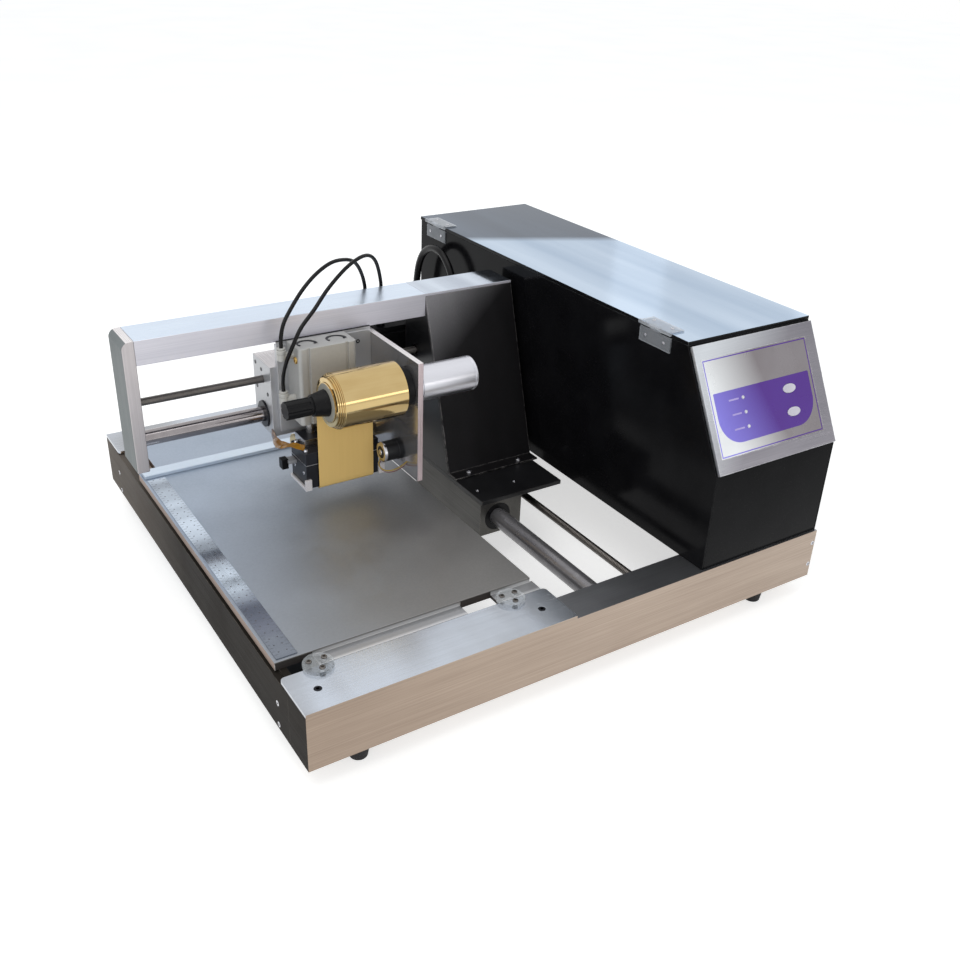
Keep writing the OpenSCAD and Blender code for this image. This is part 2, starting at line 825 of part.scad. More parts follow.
module rear_bar() {
    color([0.66, 0.66, 0.66]) place() {
        difference() {
            bar_blank(rear_face);
            rod_y([rear_face - eps, rear_face + shaft_seat], [y_shaft_x, y_shaft_z], y_shaft_d / 2);
            cover_screw_holes(base_d - cover_screw_y);
            for (z = end_screws) {
                rod_y([base_d - screw_head_h, base_d + eps], [end_screw_x, z], end_head_r);
                rod_y([rear_face - eps, base_d], [end_screw_x, z], screw_r);
            }
        }
        rod_z([bar_top + seam, bar_top + gland_h], gland_at, gland_r);
    }
}

module side_plates() {
    color([0.34, 0.32, 0.30]) place() {
        difference() {
            slab([0, side_t], [bar_d, rear_face], [foot_h, foot_h + side_h]);
            for (at = side_screws) {
                rod_x([-eps, screw_head_h], at, screw_head_r);
                rod_x([0, side_t + eps], at, screw_r);
            }
        }
        difference() {
            slab([base_w - side_t, base_w], [bar_d, rear_face], [foot_h, foot_h + side_h]);
            for (z = end_screws) {
                rod_y([bar_d - eps, bar_d + screw_len], [end_screw_x, z], screw_r);
                rod_y([rear_face - screw_len, rear_face + eps], [end_screw_x, z], screw_r);
            }
        }
    }
}

module bed_rails() {
    color([0.30, 0.30, 0.31]) place() {
        difference() {
            slab([side_t, side_t + rail_t], [bar_d, rear_face], [bar_top - rail_h, bar_top]);
            for (at = side_screws) {
                rod_x([side_t - eps, side_t + rail_t + eps], at, screw_r);
            }
        }
        slab([bed_x + bed_w - rail_inset - rail_t, bed_x + bed_w - rail_inset], [bar_d, rear_face],
            [bar_top - rail_h, bar_top]);
    }
}

module cover_blank(end) {
    round_y = end == 0 ? cover_d - cover_r : cover_r;
    translate([0, end * (base_d - cover_d), bar_top]) linear_extrude(cover_t) union() {
        translate([0, end * cover_r]) square([cover_l, cover_d - cover_r]);
        translate([cover_r, 0]) square([cover_l - 2 * cover_r, cover_d]);
        for (x = [cover_r, cover_l - cover_r]) {
            translate([x, round_y]) circle(r = cover_r);
        }
    }
}

module cover_plates() {
    color([0.80, 0.82, 0.85]) place() {
        for (end = [0, 1]) {
            difference() {
                cover_blank(end);
                for (x = [cover_screw_x, cover_l - cover_screw_x]) {
                    y = end == 0 ? cover_screw_y : base_d - cover_screw_y;
                    rod_z([bar_top - eps, cover_top], [x, y], screw_r);
                    rod_z([cover_top - screw_head_h, cover_top + eps], [x, y], screw_head_r);
                }
            }
        }
    }
}

module frame_screws() {
    color([0.12, 0.12, 0.13]) place() {
        for (at = side_screws) {
            rod_x([0, screw_head_h], at, screw_head_r);
            rod_x([screw_head_h - eps, side_t + rail_t], at, screw_r);
        }
        for (z = end_screws) {
            rod_y([0, screw_head_h], [end_screw_x, z], end_head_r);
            rod_y([screw_head_h - eps, bar_d + screw_len], [end_screw_x, z], screw_r);
            rod_y([base_d - screw_head_h, base_d], [end_screw_x, z], end_head_r);
            rod_y([rear_face - screw_len, base_d - screw_head_h + eps], [end_screw_x, z], screw_r);
        }
        for (x = [cover_screw_x, cover_l - cover_screw_x], y = [cover_screw_y, base_d - cover_screw_y]) {
            rod_z([cover_top - screw_head_h, cover_top], [x, y], screw_head_r);
            rod_z([bar_top - screw_len, cover_top - screw_head_h + eps], [x, y], screw_r);
        }
        for (x = [disc_left_x, disc_right_x], a = disc_angles) {
            at = [x + disc_screw_ring * cos(a), disc_y + disc_screw_ring * sin(a)];
            rod_z([cover_top, disc_top + eps], at, screw_r);
            rod_z([disc_top, disc_top + disc_head_h], at, disc_screw_r);
        }
    }
}

module rubber_feet() {
    color([0.06, 0.06, 0.06]) place() {
        for (x = [foot_left, base_w - foot_right], y = [bar_d / 2, base_d - bar_d / 2]) {
            translate([x, y, 0]) cylinder(h = foot_h, d1 = foot_tip_d, d2 = foot_top_d);
        }
    }
}

module bed_plate() {
    color([0.56, 0.57, 0.59]) place() difference() {
        union() {
            slab([bed_x, bed_x + bed_w], [bed_front, bed_back], [bar_top, bed_top]);
            slab([bed_x + lip_inset, bed_x + bed_w + lip_over], [cover_d + lip_gap, bed_front + past],
                [bar_top, cover_top]);
        }
        slab([bed_x - eps, bed_x + bed_cut_w], [fence_y + fence_d + past, bed_back + eps],
            [bar_top - eps, bed_top + eps]);
        slab([window_x, window_x + window_w], [cover_d, bed_front], [bar_top - eps, cover_top + eps]);
    }
}

module steel_rule() {
    color([0.78, 0.79, 0.80]) place() {
        slab([bed_x + rule_inset, bed_x + rule_inset + rule_w],
            [bed_front + rule_front, bed_front + rule_front + rule_l],
            [bed_top, bed_top + rule_t]);
    }
}

module back_fence() {
    color([0.62, 0.64, 0.66]) place() {
        slab([bed_x + fence_in, bed_x + bed_w], [fence_y, fence_y + fence_d], [bed_top, bed_top + fence_h]);
    }
}

module clamp_discs() {
    color([0.85, 0.88, 0.90, 0.5]) place() {
        for (x = [disc_left_x, disc_right_x]) {
            difference() {
                rod_z([cover_top, disc_top], [x, disc_y], disc_r);
                for (a = disc_angles) {
                    at = [x + disc_screw_ring * cos(a), disc_y + disc_screw_ring * sin(a)];
                    rod_z([cover_top - eps, disc_top + eps], at, screw_r);
                }
            }
        }
    }
}

module y_guide_shaft() {
    color([0.55, 0.56, 0.58]) place() {
        rod_y([bar_d - shaft_seat, rear_face + shaft_seat], [y_shaft_x, y_shaft_z], y_shaft_d / 2);
    }
}

module y_motor() {
    color([0.16, 0.16, 0.17]) place() difference() {
        slab([y_screw_x - motor_w / 2, y_screw_x + motor_w / 2], [y_motor_y, rear_face],
            [y_shaft_z - motor_w / 2, y_shaft_z + motor_w / 2]);
        rod_y([y_motor_y - eps, y_motor_y + motor_bore], [y_screw_x, y_shaft_z], motor_shaft_d / 2 + run_gap);
    }
}

module y_screw() {
    color([0.42, 0.42, 0.43]) place() {
        rod_y([bar_d - screw_seat, y_coupling_end - coupling_l / 2], [y_screw_x, y_shaft_z], screw_d / 2);
        rod_y([y_coupling_end - coupling_l, y_coupling_end], [y_screw_x, y_shaft_z], coupling_d / 2);
        rod_y([y_coupling_end - past, y_motor_y + motor_grip], [y_screw_x, y_shaft_z], motor_shaft_d / 2);
    }
}

module carriage_block() {
    color([0.46, 0.47, 0.49]) place() difference() {
        union() {
            slab([carriage_x, carriage_x + carriage_w], [carriage_y, carriage_y + carriage_l],
                [carriage_z, plate_z]);
            slab([y_shaft_x, y_screw_x + lug_over],
                [carriage_y + lug_back, carriage_y + lug_back + lug_l],
                [y_shaft_z - lug_over, plate_z]);
        }
        rod_y([carriage_y - eps, carriage_y + carriage_l + eps], [y_shaft_x, y_shaft_z], y_bushing_d / 2);
        rod_y([carriage_y, carriage_y + carriage_l], [y_screw_x, y_shaft_z], screw_d / 2 + run_gap);
    }
}

module y_bushings() {
    color([0.24, 0.24, 0.25]) place() {
        for (y = [carriage_y, carriage_y + carriage_l - bushing_l]) {
            difference() {
                rod_y([y, y + bushing_l], [y_shaft_x, y_shaft_z], y_bushing_d / 2);
                rod_y([y - eps, y + bushing_l + eps], [y_shaft_x, y_shaft_z], y_shaft_d / 2 + run_gap);
            }
        }
    }
}

module gantry_base_plate() {
    color([0.10, 0.10, 0.11]) place() {
        slab([plate_x, plate_x + plate_w], [plate_y, gantry_back], [plate_z, plate_top]);
    }
}

module pillar_plates() {
    side = [[pillar_y + sheet_t, plate_top], [gantry_back, plate_top], [gantry_back, wall_top],
        [beam_y + sheet_t, wall_top]];
    color([0.13, 0.13, 0.14]) place() {
        difference() {
            union() {
                along_x([plate_x, plate_x + sheet_t]) polygon(side);
                rod_x([plate_x, seat_end], [x_axis_y, x_shaft_z], seat_r);
                for (s = [-mount, mount]) {
                    rod_x([plate_x, x_motor_x], [x_axis_y + s, x_screw_z + s], mount_r);
                }
            }
            rod_x([plate_x - eps, seat_end + eps], [x_axis_y, x_shaft_z], shaft_d / 2);
            rod_x([plate_x - eps, plate_x + sheet_t + eps], [x_axis_y, x_screw_z], screw_d / 2 + screw_way);
        }
        along_x([pillar_end - sheet_t, pillar_end]) polygon(side);
        slab([plate_x + sheet_t + seam, pillar_end - sheet_t - seam], [gantry_back - sheet_t, gantry_back],
            [plate_top, wall_top]);
        rod_y([gantry_back + seam, boss_end], boss_at, gland_r);
    }
}

module pillar_cover() {
    color([0.18, 0.18, 0.19]) place() along_x([plate_x, pillar_end]) polygon([
        [pillar_y - foot_lip, plate_top], [pillar_y + sheet_t, plate_top], [beam_y + sheet_t, wall_top],
        [beam_y, wall_top], [pillar_y, plate_top + foot_lip_h],
        [pillar_y - foot_lip, plate_top + foot_lip_h]]);
}

module pillar_top_plate() {
    color([0.83, 0.84, 0.86]) place() {
        slab([plate_x, pillar_end], [beam_y, gantry_back], [wall_top, gantry_top]);
    }
}

module gantry_beam() {
    color([0.80, 0.81, 0.83]) place() difference() {
        slab([end_in, plate_x], [beam_y, gantry_back], [beam_z, gantry_top]);
        slab([end_in - eps, plate_x + eps], [beam_y + beam_wall, gantry_back - beam_wall],
            [beam_z + beam_wall, gantry_top - beam_wall]);
    }
}

module gantry_end_plate() {
    z = gantry_top - end_h;
    color([0.52, 0.55, 0.54]) place() difference() {
        slab([-end_over, end_in], [beam_y, gantry_back], [z, gantry_top]);
        difference() {
            slab([-end_over - past, end_r - end_over], [beam_y - past, gantry_back + past],
                [gantry_top - end_r, gantry_top + past]);
            rod_y([beam_y - 2 * past, gantry_back + 2 * past], [end_r - end_over, gantry_top - end_r], end_r);
        }
        rod_x([end_in - shaft_seat, end_in + eps], [x_axis_y, x_shaft_z], shaft_d / 2);
        rod_x([end_in - screw_seat - past, end_in + eps], [x_axis_y, x_screw_z], screw_d / 2 + run_gap);
    }
}

module x_guide_shaft() {
    color([0.55, 0.56, 0.58]) place() {
        rod_x([end_in - shaft_seat, seat_end], [x_axis_y, x_shaft_z], shaft_d / 2);
    }
}

module x_motor() {
    color([0.16, 0.16, 0.17]) place() difference() {
        slab([x_motor_x, x_motor_x + motor_l], [x_axis_y - motor_w / 2, x_axis_y + motor_w / 2],
            [x_screw_z - motor_w / 2, x_screw_z + motor_w / 2]);
        rod_x([x_motor_x - eps, x_motor_x + motor_bore], [x_axis_y, x_screw_z], motor_shaft_d / 2 + run_gap);
    }
}

module x_screw() {
    color([0.42, 0.42, 0.43]) place() {
        rod_x([end_in - screw_seat, x_coupling_x + coupling_l / 2], [x_axis_y, x_screw_z], screw_d / 2);
        rod_x([x_coupling_x, x_coupling_x + coupling_l], [x_axis_y, x_screw_z], coupling_d / 2);
        rod_x([x_coupling_x + coupling_l - past, x_motor_x + motor_grip], [x_axis_y, x_screw_z],
            motor_shaft_d / 2);
    }
}

module head_block() {
    color([0.72, 0.73, 0.74]) place() difference() {
        slab([head_x, head_x + head_l], [beam_y, block_back], [block_z, block_z + head_h]);
        rod_x([head_x - eps, head_x + head_l + eps], [x_axis_y, x_shaft_z], bushing_d / 2);
        rod_x([head_x - eps, head_x + head_l + eps], [x_axis_y, x_screw_z], screw_d / 2 + run_gap);
    }
}

module x_bushings() {
    color([0.24, 0.24, 0.25]) place() {
        for (x = [head_x - bushing_out, head_x + head_l + bushing_out - bushing_l]) {
            difference() {
                rod_x([x, x + bushing_l], [x_axis_y, x_shaft_z], bushing_d / 2);
                rod_x([x - eps, x + bushing_l + eps], [x_axis_y, x_shaft_z], shaft_d / 2 + run_gap);
            }
        }
    }
}

module head_back_plate() {
    color([0.74, 0.75, 0.76]) place() {
        slab([head_x + back_inset, side_x], [back_y, beam_y], [back_top - back_h, back_top]);
    }
}

module head_side_plate() {
    top = gantry_top - side_plate_drop;
    color([0.76, 0.77, 0.78]) place() difference() {
        slab([side_x, side_end], [beam_y - side_plate_front, beam_y + side_plate_back],
            [top - side_plate_h, top]);
        rod_x([side_x - eps, side_end + eps], [spool_y, spool_z], spindle_r + run_gap);
        rod_x([side_x - eps, side_end + eps], [take_y, take_z], spindle_r + run_gap);
    }
}

module air_cylinder() {
    c = cyl_corner;
    color([0.67, 0.66, 0.63]) place() difference() {
        translate([cyl_left, cyl_y, cyl_z]) linear_extrude(cyl_h) union() {
            translate([c, 0]) square([cyl_w - 2 * c, cyl_d]);
            translate([0, c]) square([cyl_w, cyl_d - c]);
            translate([c, c]) circle(r = c);
            translate([cyl_w - c, c]) circle(r = c);
        }
        for (x = rod_xs) {
            rod_z([cyl_z + cyl_end, cyl_top - cyl_end], [x, rod_y_at], bore_d / 2);
            rod_z([cyl_z - eps, cyl_z + cyl_end + eps], [x, rod_y_at], rod_d / 2 + run_gap);
            rod_z([cyl_top - ring_h, cyl_top + eps], [x, rod_y_at], bore_d / 2 + ring_over);
        }
        for (x = [cyl_left + groove_left, cyl_left + cyl_w - groove_right]) {
            slab([x, x + groove_w], [cyl_y - eps, cyl_y + groove_d], [cyl_z - eps, cyl_top + eps]);
        }
    }
}

module air_fittings() {
    color([0.80, 0.80, 0.78]) place() {
        for (z = elbow_tops) {
            rod_x([elbow_x, cyl_left], [rod_y_at, z - elbow_h + elbow_r], elbow_r - elbow_neck);
            rod_z([z - elbow_h, z], [elbow_x, rod_y_at], elbow_r);
        }
    }
}

module air_tube_upper() {
    color([0.05, 0.05, 0.05]) place() tube(carried(upper_route, [elbow_x, rod_y_at, elbow_tops[0]],
        [valve_left + port_inset, port_y, port_top]), tube_d / 2, tube_sides, tube_ref);
}

module air_tube_lower() {
    color([0.05, 0.05, 0.05]) place() tube(carried(lower_route, [elbow_x, rod_y_at, elbow_tops[1]],
        [valve_left + port_inset + port_pitch, port_y, port_top]), tube_d / 2, tube_sides, tube_ref);
}

module air_valve() {
    color([0.22, 0.23, 0.25]) place() {
        slab([head_x + bracket_x, valve_left + valve_w], [block_back, valve_y],
            [valve_top - valve_h, valve_top - bracket_low]);
        slab([valve_left, valve_left + valve_w], [valve_y - eps, valve_y + valve_d],
            [valve_top - valve_h, valve_top]);
        for (x = [port_inset, port_inset + port_pitch]) {
            rod_z([valve_top - eps, port_top], [valve_left + x, port_y], elbow_r);
        }
    }
}

module spool_motor() {
    color([0.84, 0.85, 0.86]) place() {
        rod_x([side_end, side_end + spool_motor_l], [spool_y, spool_z], spool_motor_r);
    }
}

module feed_motor() {
    color([0.20, 0.20, 0.21]) place() {
        rod_x([side_x - feed_motor_l, side_x], [feed_y, feed_z], feed_motor_r);
        rod_x([side_x - feed_motor_l - feed_boss_l, side_x - feed_motor_l + eps], [feed_y, feed_z],
            feed_motor_r * feed_boss_share);
    }
}

module foil_web() {
    path = concat([[web_y, spool_z]], [for (b = front_bend) [web_y, web_z] + b],
        [for (b = back_bend) [print_back + web_behind, web_z] + b], [[web_up, take_z]]);
    color([0.78, 0.60, 0.26]) place() along_x([web_left, web_right]) polygon(strip(path, web_t));
}

module foil_roll() {
    color([0.82, 0.64, 0.28]) place() difference() {
        rod_x([roll_x, roll_end], [spool_y, spool_z], roll_r);
        rod_x([roll_x - eps, roll_end + eps], [spool_y, spool_z], arbor_r);
    }
}

module spool_hub() {
    color([0.07, 0.07, 0.08]) place() {
        rod_x([roll_x - past, hub_end], [spool_y, spool_z], arbor_r);
        rod_x([roll_end, hub_end], [spool_y, spool_z], spool_flange_r);
        rod_x([hub_end - past, spindle_end], [spool_y, spool_z], spindle_r);
        translate([roll_x - cone_l, spool_y, spool_z]) rotate([0, 90, 0])
            cylinder(h = cone_l, r1 = hub_r, r2 = arbor_r + hub_step);
        difference() {
            rod_x([roll_x - cone_l - knob_l, roll_x - cone_l + past], [spool_y, spool_z], knob_r);
            for (a = grip_angles) {
                rod_x([roll_x - cone_l - knob_l - past, roll_x - cone_l - grip_end],
                    [spool_y, spool_z] + (knob_r + grip_out) * [cos(a), sin(a)], grip_r);
            }
        }
    }
}

module take_up_spool() {
    color([0.74, 0.58, 0.27]) place() {
        rod_x([web_left - take_in, hub_end], [take_y, take_z], take_r);
        rod_x([hub_end - past, spindle_end], [take_y, take_z], spindle_r);
        for (x = [web_left - take_in, web_right + past]) {
            rod_x([x, x + take_flange_t], [take_y, take_z], take_flange_r);
        }
    }
}

module cylinder_rods() {
    color([0.70, 0.71, 0.72]) place() {
        slab([print_left + tool_side, print_end - tool_side],
            [print_y + tool_in, rod_y_at + rod_d / 2 + past], [print_top, tool_top]);
        for (x = rod_xs) {
            rod_z([tool_top - past, piston_top], [x, rod_y_at], rod_d / 2);
            rod_z([piston_top - piston_t, piston_top], [x, rod_y_at], bore_d / 2 - 2 * run_gap);
        }
    }
}

module print_head() {
    color([0.06, 0.06, 0.07]) place() {
        slab([print_left, print_end], [print_y, print_back], [print_z, print_top]);
        slab([web_left, web_right], [print_y + (print_d - ridge_w) / 2, print_y + (print_d + ridge_w) / 2],
            [print_z - ridge_h, print_z + eps]);
    }
}

module head_guards() {
    z = [print_z - guard_drop, print_z - guard_drop + guard_h];
    color([0.84, 0.85, 0.86]) place() {
        slab([print_left - guard_t, print_left], [print_y - tab_t, print_back], z);
        slab([print_left - guard_t, print_left - guard_t + tab_w], [print_y - tab_t, print_y], z);
        slab([print_end, print_end + guard_t], [print_y - tab_t, print_back], z);
        slab([print_end - tab_in, print_end - tab_in + tab_w], [print_y - tab_t, print_y], z);
    }
}

module side_profile() {
    polygon([[housing_y, bar_top], [housing_back, bar_top], [housing_back, housing_top], [lid_y, housing_top],
        [housing_y, slope_z]]);
}

module housing_side_panels() {
    color([0.06, 0.06, 0.07]) place() {
        along_x([housing_x, housing_x + wall_t]) side_profile();
        along_x([base_w - wall_t, base_w]) side_profile();
    }
}

module housing_front_panel() {
    color([0.06, 0.06, 0.07]) place() along_x([housing_x + wall_t, base_w - wall_t]) polygon([
        [housing_y, bar_top], [housing_y + wall_t, bar_top],
        [housing_y + wall_t, slope_z + (wall_t - slope_wall) * slope_rise / slope_run],
        [lid_y + slope_wall, housing_top], [lid_y, housing_top], [housing_y, slope_z]]);
}

module housing_rear_panel() {
    color([0.07, 0.07, 0.08]) place() difference() {
        slab([housing_x + wall_t, base_w - wall_t], [housing_back - wall_t, housing_back],
            [floor_top, housing_top]);
        slab([inlet_at[0] - inlet_w / 2 + inlet_rim, inlet_at[0] + inlet_w / 2 - inlet_rim],
            [housing_back - wall_t - eps, housing_back + eps],
            [inlet_at[1] - inlet_h / 2 + inlet_rim, inlet_at[1] + inlet_h / 2 - inlet_rim]);
        rod_y([housing_back - wall_t - eps, housing_back + eps], air_at, air_body_r - air_neck);
        for (k = [0:vents - 1]) {
            z = housing_top - vent_drop + vent_pitch * k;
            slab([housing_x + housing_w / 4, base_w - housing_w / 4],
                [housing_back - wall_t - eps, housing_back + eps], [z, z + vent_h]);
        }
    }
}

module housing_floor() {
    color([0.30, 0.30, 0.31]) place() {
        slab([housing_x + wall_t, base_w - wall_t], [housing_y + wall_t, housing_back - wall_t],
            [bar_top, floor_top]);
        for (x = [stud_in, board_w - stud_in], y = [stud_in, board_d - stud_in]) {
            rod_z([floor_top - eps, board_z], [board_x + x, board_front + y], stud_r);
        }
    }
}

module control_panel() {
    color([0.76, 0.77, 0.79]) place() on_slope() difference() {
        slab([panel_margin, housing_w - panel_margin], [panel_margin, slope_l - panel_margin], [0, panel_t]);
        slab([overlay_x, overlay_x + overlay_w], [overlay_up, overlay_up + overlay_h],
            [panel_t - overlay_t, panel_t + eps]);
        for (v = [button_up, button_low]) {
            translate([button_x, v, -eps]) linear_extrude(panel_t)
                oval(button_l + 2 * button_gap, button_h + 2 * button_gap);
        }
    }
}

module panel_overlay() {
    color([0.42, 0.34, 0.78]) place() on_slope() {
        difference() {
            slab([overlay_x, overlay_x + overlay_w], [overlay_up, overlay_up + overlay_h],
                [panel_t - overlay_t, panel_t]);
            for (v = [button_up, button_low]) {
                translate([button_x, v, panel_t - overlay_t - eps]) linear_extrude(overlay_t + 2 * eps)
                    oval(button_l + 2 * button_gap, button_h + 2 * button_gap);
            }
        }
        for (k = [0:lamps - 1]) {
            rod_z([panel_t - overlay_t / 2, panel_t + lamp_rise], [lamp_x, lamp_up - k * lamp_pitch], lamp_r);
        }
    }
}

module button(v) {
    color([0.86, 0.87, 0.90]) place() on_slope() {
        translate([button_x, v, button_travel + key_gap])
            linear_extrude(panel_t + button_rise - button_travel - key_gap) oval(button_l, button_h);
    }
}

module button_upper() {
    button(button_up);
}

module button_lower() {
    button(button_low);
}

module lid() {
    color([0.45, 0.48, 0.52]) place() {
        slab([housing_x, base_w], [lid_y, housing_back + lid_over], [housing_top, lid_top]);
    }
}

module hinge_base_leaves() {
    third = hinge_l / 6;
    color([0.82, 0.86, 0.88, 0.6]) place() {
        for (y = hinge_ys) {
            slab([housing_x - hinge_t, housing_x], [y - hinge_l / 2, y + hinge_l / 2],
                [housing_top - hinge_leaf, housing_top - leaf_drop]);
            difference() {
                union() {
                    rod_y([y - third, y + third], [hinge_x, hinge_z], knuckle_r);
                    slab([housing_x - hinge_t, housing_x - knuckle_gap], [y - third, y + third],
                        [housing_top - leaf_neck, hinge_z - past]);
                }
                rod_y([y - third - eps, y + third + eps], [hinge_x, hinge_z], pin_r + run_gap);
            }
        }
    }
}

module hinge_lid_leaves() {
    third = hinge_l / 6 + knuckle_play;
    color([0.82, 0.86, 0.88, 0.6]) place() {
        for (y = hinge_ys) {
            slab([housing_x, housing_x + hinge_leaf], [y - hinge_l / 2, y + hinge_l / 2],
                [lid_top, lid_top + hinge_t]);
            rod_y([y - hinge_l / 2, y + hinge_l / 2], [hinge_x, hinge_z], pin_r);
            for (s = [[-hinge_l / 2, -third], [third, hinge_l / 2]]) {
                rod_y([y + s[0], y + s[1]], [hinge_x, hinge_z], knuckle_r);
                slab([hinge_x, housing_x + past], [y + s[0], y + s[1]], [lid_top, lid_top + hinge_t]);
            }
        }
    }
}

module power_supply() {
    x = housing_x + (housing_w - supply_w) / 2;
    color([0.70, 0.71, 0.72]) place() {
        slab([x, x + supply_w], [housing_back - supply_rear - supply_d, housing_back - supply_rear],
            [floor_top, floor_top + supply_h]);
    }
}

module control_board() {
    top = board_z + board_t;
    color([0.10, 0.34, 0.20]) place() {
        slab([board_x, board_x + board_w], [board_front, board_front + board_d], [board_z, top]);
        slab([board_x + sink_in, board_x + sink_in + sink_w],
            [board_front + sink_in, board_front + sink_in + sink_d],
            [top - eps, top + sink_h]);
        slab([board_x + strip_in, board_x + board_w - strip_in],
            [board_front + board_d - strip_d - stud_in, board_front + board_d - stud_in],
            [top - eps, top + strip_h]);
        for (k = [0:caps - 1]) {
            rod_z([top - eps, top + cap_h],
                [board_x + sink_in + sink_w + cap_pitch * (k + 1), board_front + board_d / 4], cap_r);
        }
    }
}

module power_inlet() {
    out = housing_back + inlet_t;
    color([0.05, 0.05, 0.05]) place() {
        difference() {
            union() {
                slab([inlet_at[0] - inlet_w / 2, inlet_at[0] + inlet_w / 2], [housing_back, out],
                    [inlet_at[1] - inlet_h / 2, inlet_at[1] + inlet_h / 2]);
                slab([inlet_at[0] - inlet_w / 2 + inlet_rim, inlet_at[0] + inlet_w / 2 - inlet_rim],
                    [housing_back - inlet_d, housing_back + eps],
                    [inlet_at[1] - inlet_h / 2 + inlet_rim, inlet_at[1] + inlet_h / 2 - inlet_rim]);
            }
            slab([inlet_at[0] - socket_w / 2, inlet_at[0] + socket_w / 2], [out - socket_d, out + eps],
                [socket_z - socket_h / 2, socket_z + socket_h / 2]);
            slab([inlet_at[0] - rocker_w / 2 - rocker_side, inlet_at[0] + rocker_w / 2 + rocker_side],
                [out - rocker_hole, out + eps],
                [rocker_z - rocker_h / 2 - rocker_end, rocker_z + rocker_h / 2 + rocker_end]);
        }
        for (p = prongs_at) {
            slab([inlet_at[0] + p[0] - prong_w / 2, inlet_at[0] + p[0] + prong_w / 2],
                [out - socket_d - eps, out - prong_in],
                [socket_z + p[1] - prong_h / 2, socket_z + p[1] + prong_h / 2]);
        }
    }
}

module switch_rocker() {
    color([0.08, 0.08, 0.08]) place() {
        translate([inlet_at[0] - rocker_w / 2, housing_back - rocker_axis, rocker_z])
            rotate([rocker_tilt, 0, 0]) translate([0, -rocker_t / 2, -rocker_h / 2])
                cube([rocker_w, rocker_t, rocker_h]);
    }
}

module air_inlet() {
    color([0.72, 0.60, 0.34]) place() difference() {
        union() {
            rod_y([housing_back, housing_back + air_out], air_at, air_body_r);
            rod_y([housing_back - wall_t - past, housing_back + past], air_at, air_body_r - air_neck);
            rod_y([housing_back - wall_t - air_nut_l, housing_back - wall_t], air_at, air_body_r + past);
        }
        rod_y([housing_back - air_depth, housing_back + air_out + eps], air_at, air_bore_r);
    }
}

module cable_loop() {
    color([0.06, 0.06, 0.06]) place() tube(carried(loop_route, [boss_at[0], boss_end, boss_at[1]],
        [gland_at[0], gland_at[1], bar_top + gland_h]), loop_d / 2, loop_sides, loop_ref);
}

front_bar();
rear_bar();
side_plates();
bed_rails();
cover_plates();
frame_screws();
rubber_feet();
bed_plate();
steel_rule();
back_fence();
clamp_discs();
y_guide_shaft();
y_motor();
y_screw();
carriage_block();
y_bushings();
gantry_base_plate();
pillar_plates();
pillar_cover();
pillar_top_plate();
gantry_beam();
gantry_end_plate();
x_guide_shaft();
x_motor();
x_screw();
head_block();
x_bushings();
head_back_plate();
head_side_plate();
air_cylinder();
air_fittings();
air_tube_upper();
air_tube_lower();
air_valve();
spool_motor();
feed_motor();
foil_web();
foil_roll();
spool_hub();
take_up_spool();
cylinder_rods();
print_head();
head_guards();
housing_side_panels();
housing_front_panel();
housing_rear_panel();
housing_floor();
control_panel();
panel_overlay();
button_upper();
button_lower();
lid();
hinge_base_leaves();
hinge_lid_leaves();
power_supply();
control_board();
power_inlet();
switch_rocker();
air_inlet();
cable_loop();
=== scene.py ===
import json
import math
import bmesh
import bpy
from mathutils import Matrix, Vector

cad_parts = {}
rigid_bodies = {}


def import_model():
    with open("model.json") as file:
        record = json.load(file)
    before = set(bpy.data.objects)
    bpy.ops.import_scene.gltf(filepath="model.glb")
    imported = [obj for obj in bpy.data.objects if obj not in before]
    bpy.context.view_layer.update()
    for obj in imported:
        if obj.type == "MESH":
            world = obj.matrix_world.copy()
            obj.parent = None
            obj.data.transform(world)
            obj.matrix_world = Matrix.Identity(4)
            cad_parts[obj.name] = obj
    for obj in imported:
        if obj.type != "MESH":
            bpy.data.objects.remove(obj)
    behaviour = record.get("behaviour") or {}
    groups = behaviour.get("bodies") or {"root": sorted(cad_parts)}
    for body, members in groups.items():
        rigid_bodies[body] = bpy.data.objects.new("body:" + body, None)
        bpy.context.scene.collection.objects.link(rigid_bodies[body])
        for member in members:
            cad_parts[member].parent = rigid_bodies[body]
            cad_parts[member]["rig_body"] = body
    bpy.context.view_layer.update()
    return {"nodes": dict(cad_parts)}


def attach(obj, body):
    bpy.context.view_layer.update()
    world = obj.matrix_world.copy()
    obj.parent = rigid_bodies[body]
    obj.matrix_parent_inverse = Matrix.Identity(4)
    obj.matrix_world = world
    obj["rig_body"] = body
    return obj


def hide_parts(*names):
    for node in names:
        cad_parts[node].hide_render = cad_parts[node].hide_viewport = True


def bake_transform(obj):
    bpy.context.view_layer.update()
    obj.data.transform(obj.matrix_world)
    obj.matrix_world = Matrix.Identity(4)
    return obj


for leftover in list(bpy.data.objects):  # an empty scene before the frame comes in
    bpy.data.objects.remove(leftover)
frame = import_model()
scene = bpy.context.scene
scene.view_settings.view_transform = "Standard"
nodes = frame["nodes"]
print("frame loaded with", len(nodes), "nodes")

drawingCorner = (279.0, 282.5)  # the part's origin, in mm from the drawing's front left corner
toLeft, toRight, toFront, toBack, toTop = (-1, 0, 0), (1, 0, 0), (0, -1, 0), (0, 1, 0), (0, 0, 1)
fullTurn = 2 * math.pi
finishes = {}  # every material, by slot or by its own name


def at(x, y, z):
    return Vector(((x - drawingCorner[0]) / 1000, (y - drawingCorner[1]) / 1000, z / 1000))


def tone(red, green, blue):
    levels = []
    for level in (red / 255, green / 255, blue / 255):
        levels.append(level / 12.92 if level <= 0.04045 else ((level + 0.055) / 1.055) ** 2.4)
    return (*levels, 1.0)


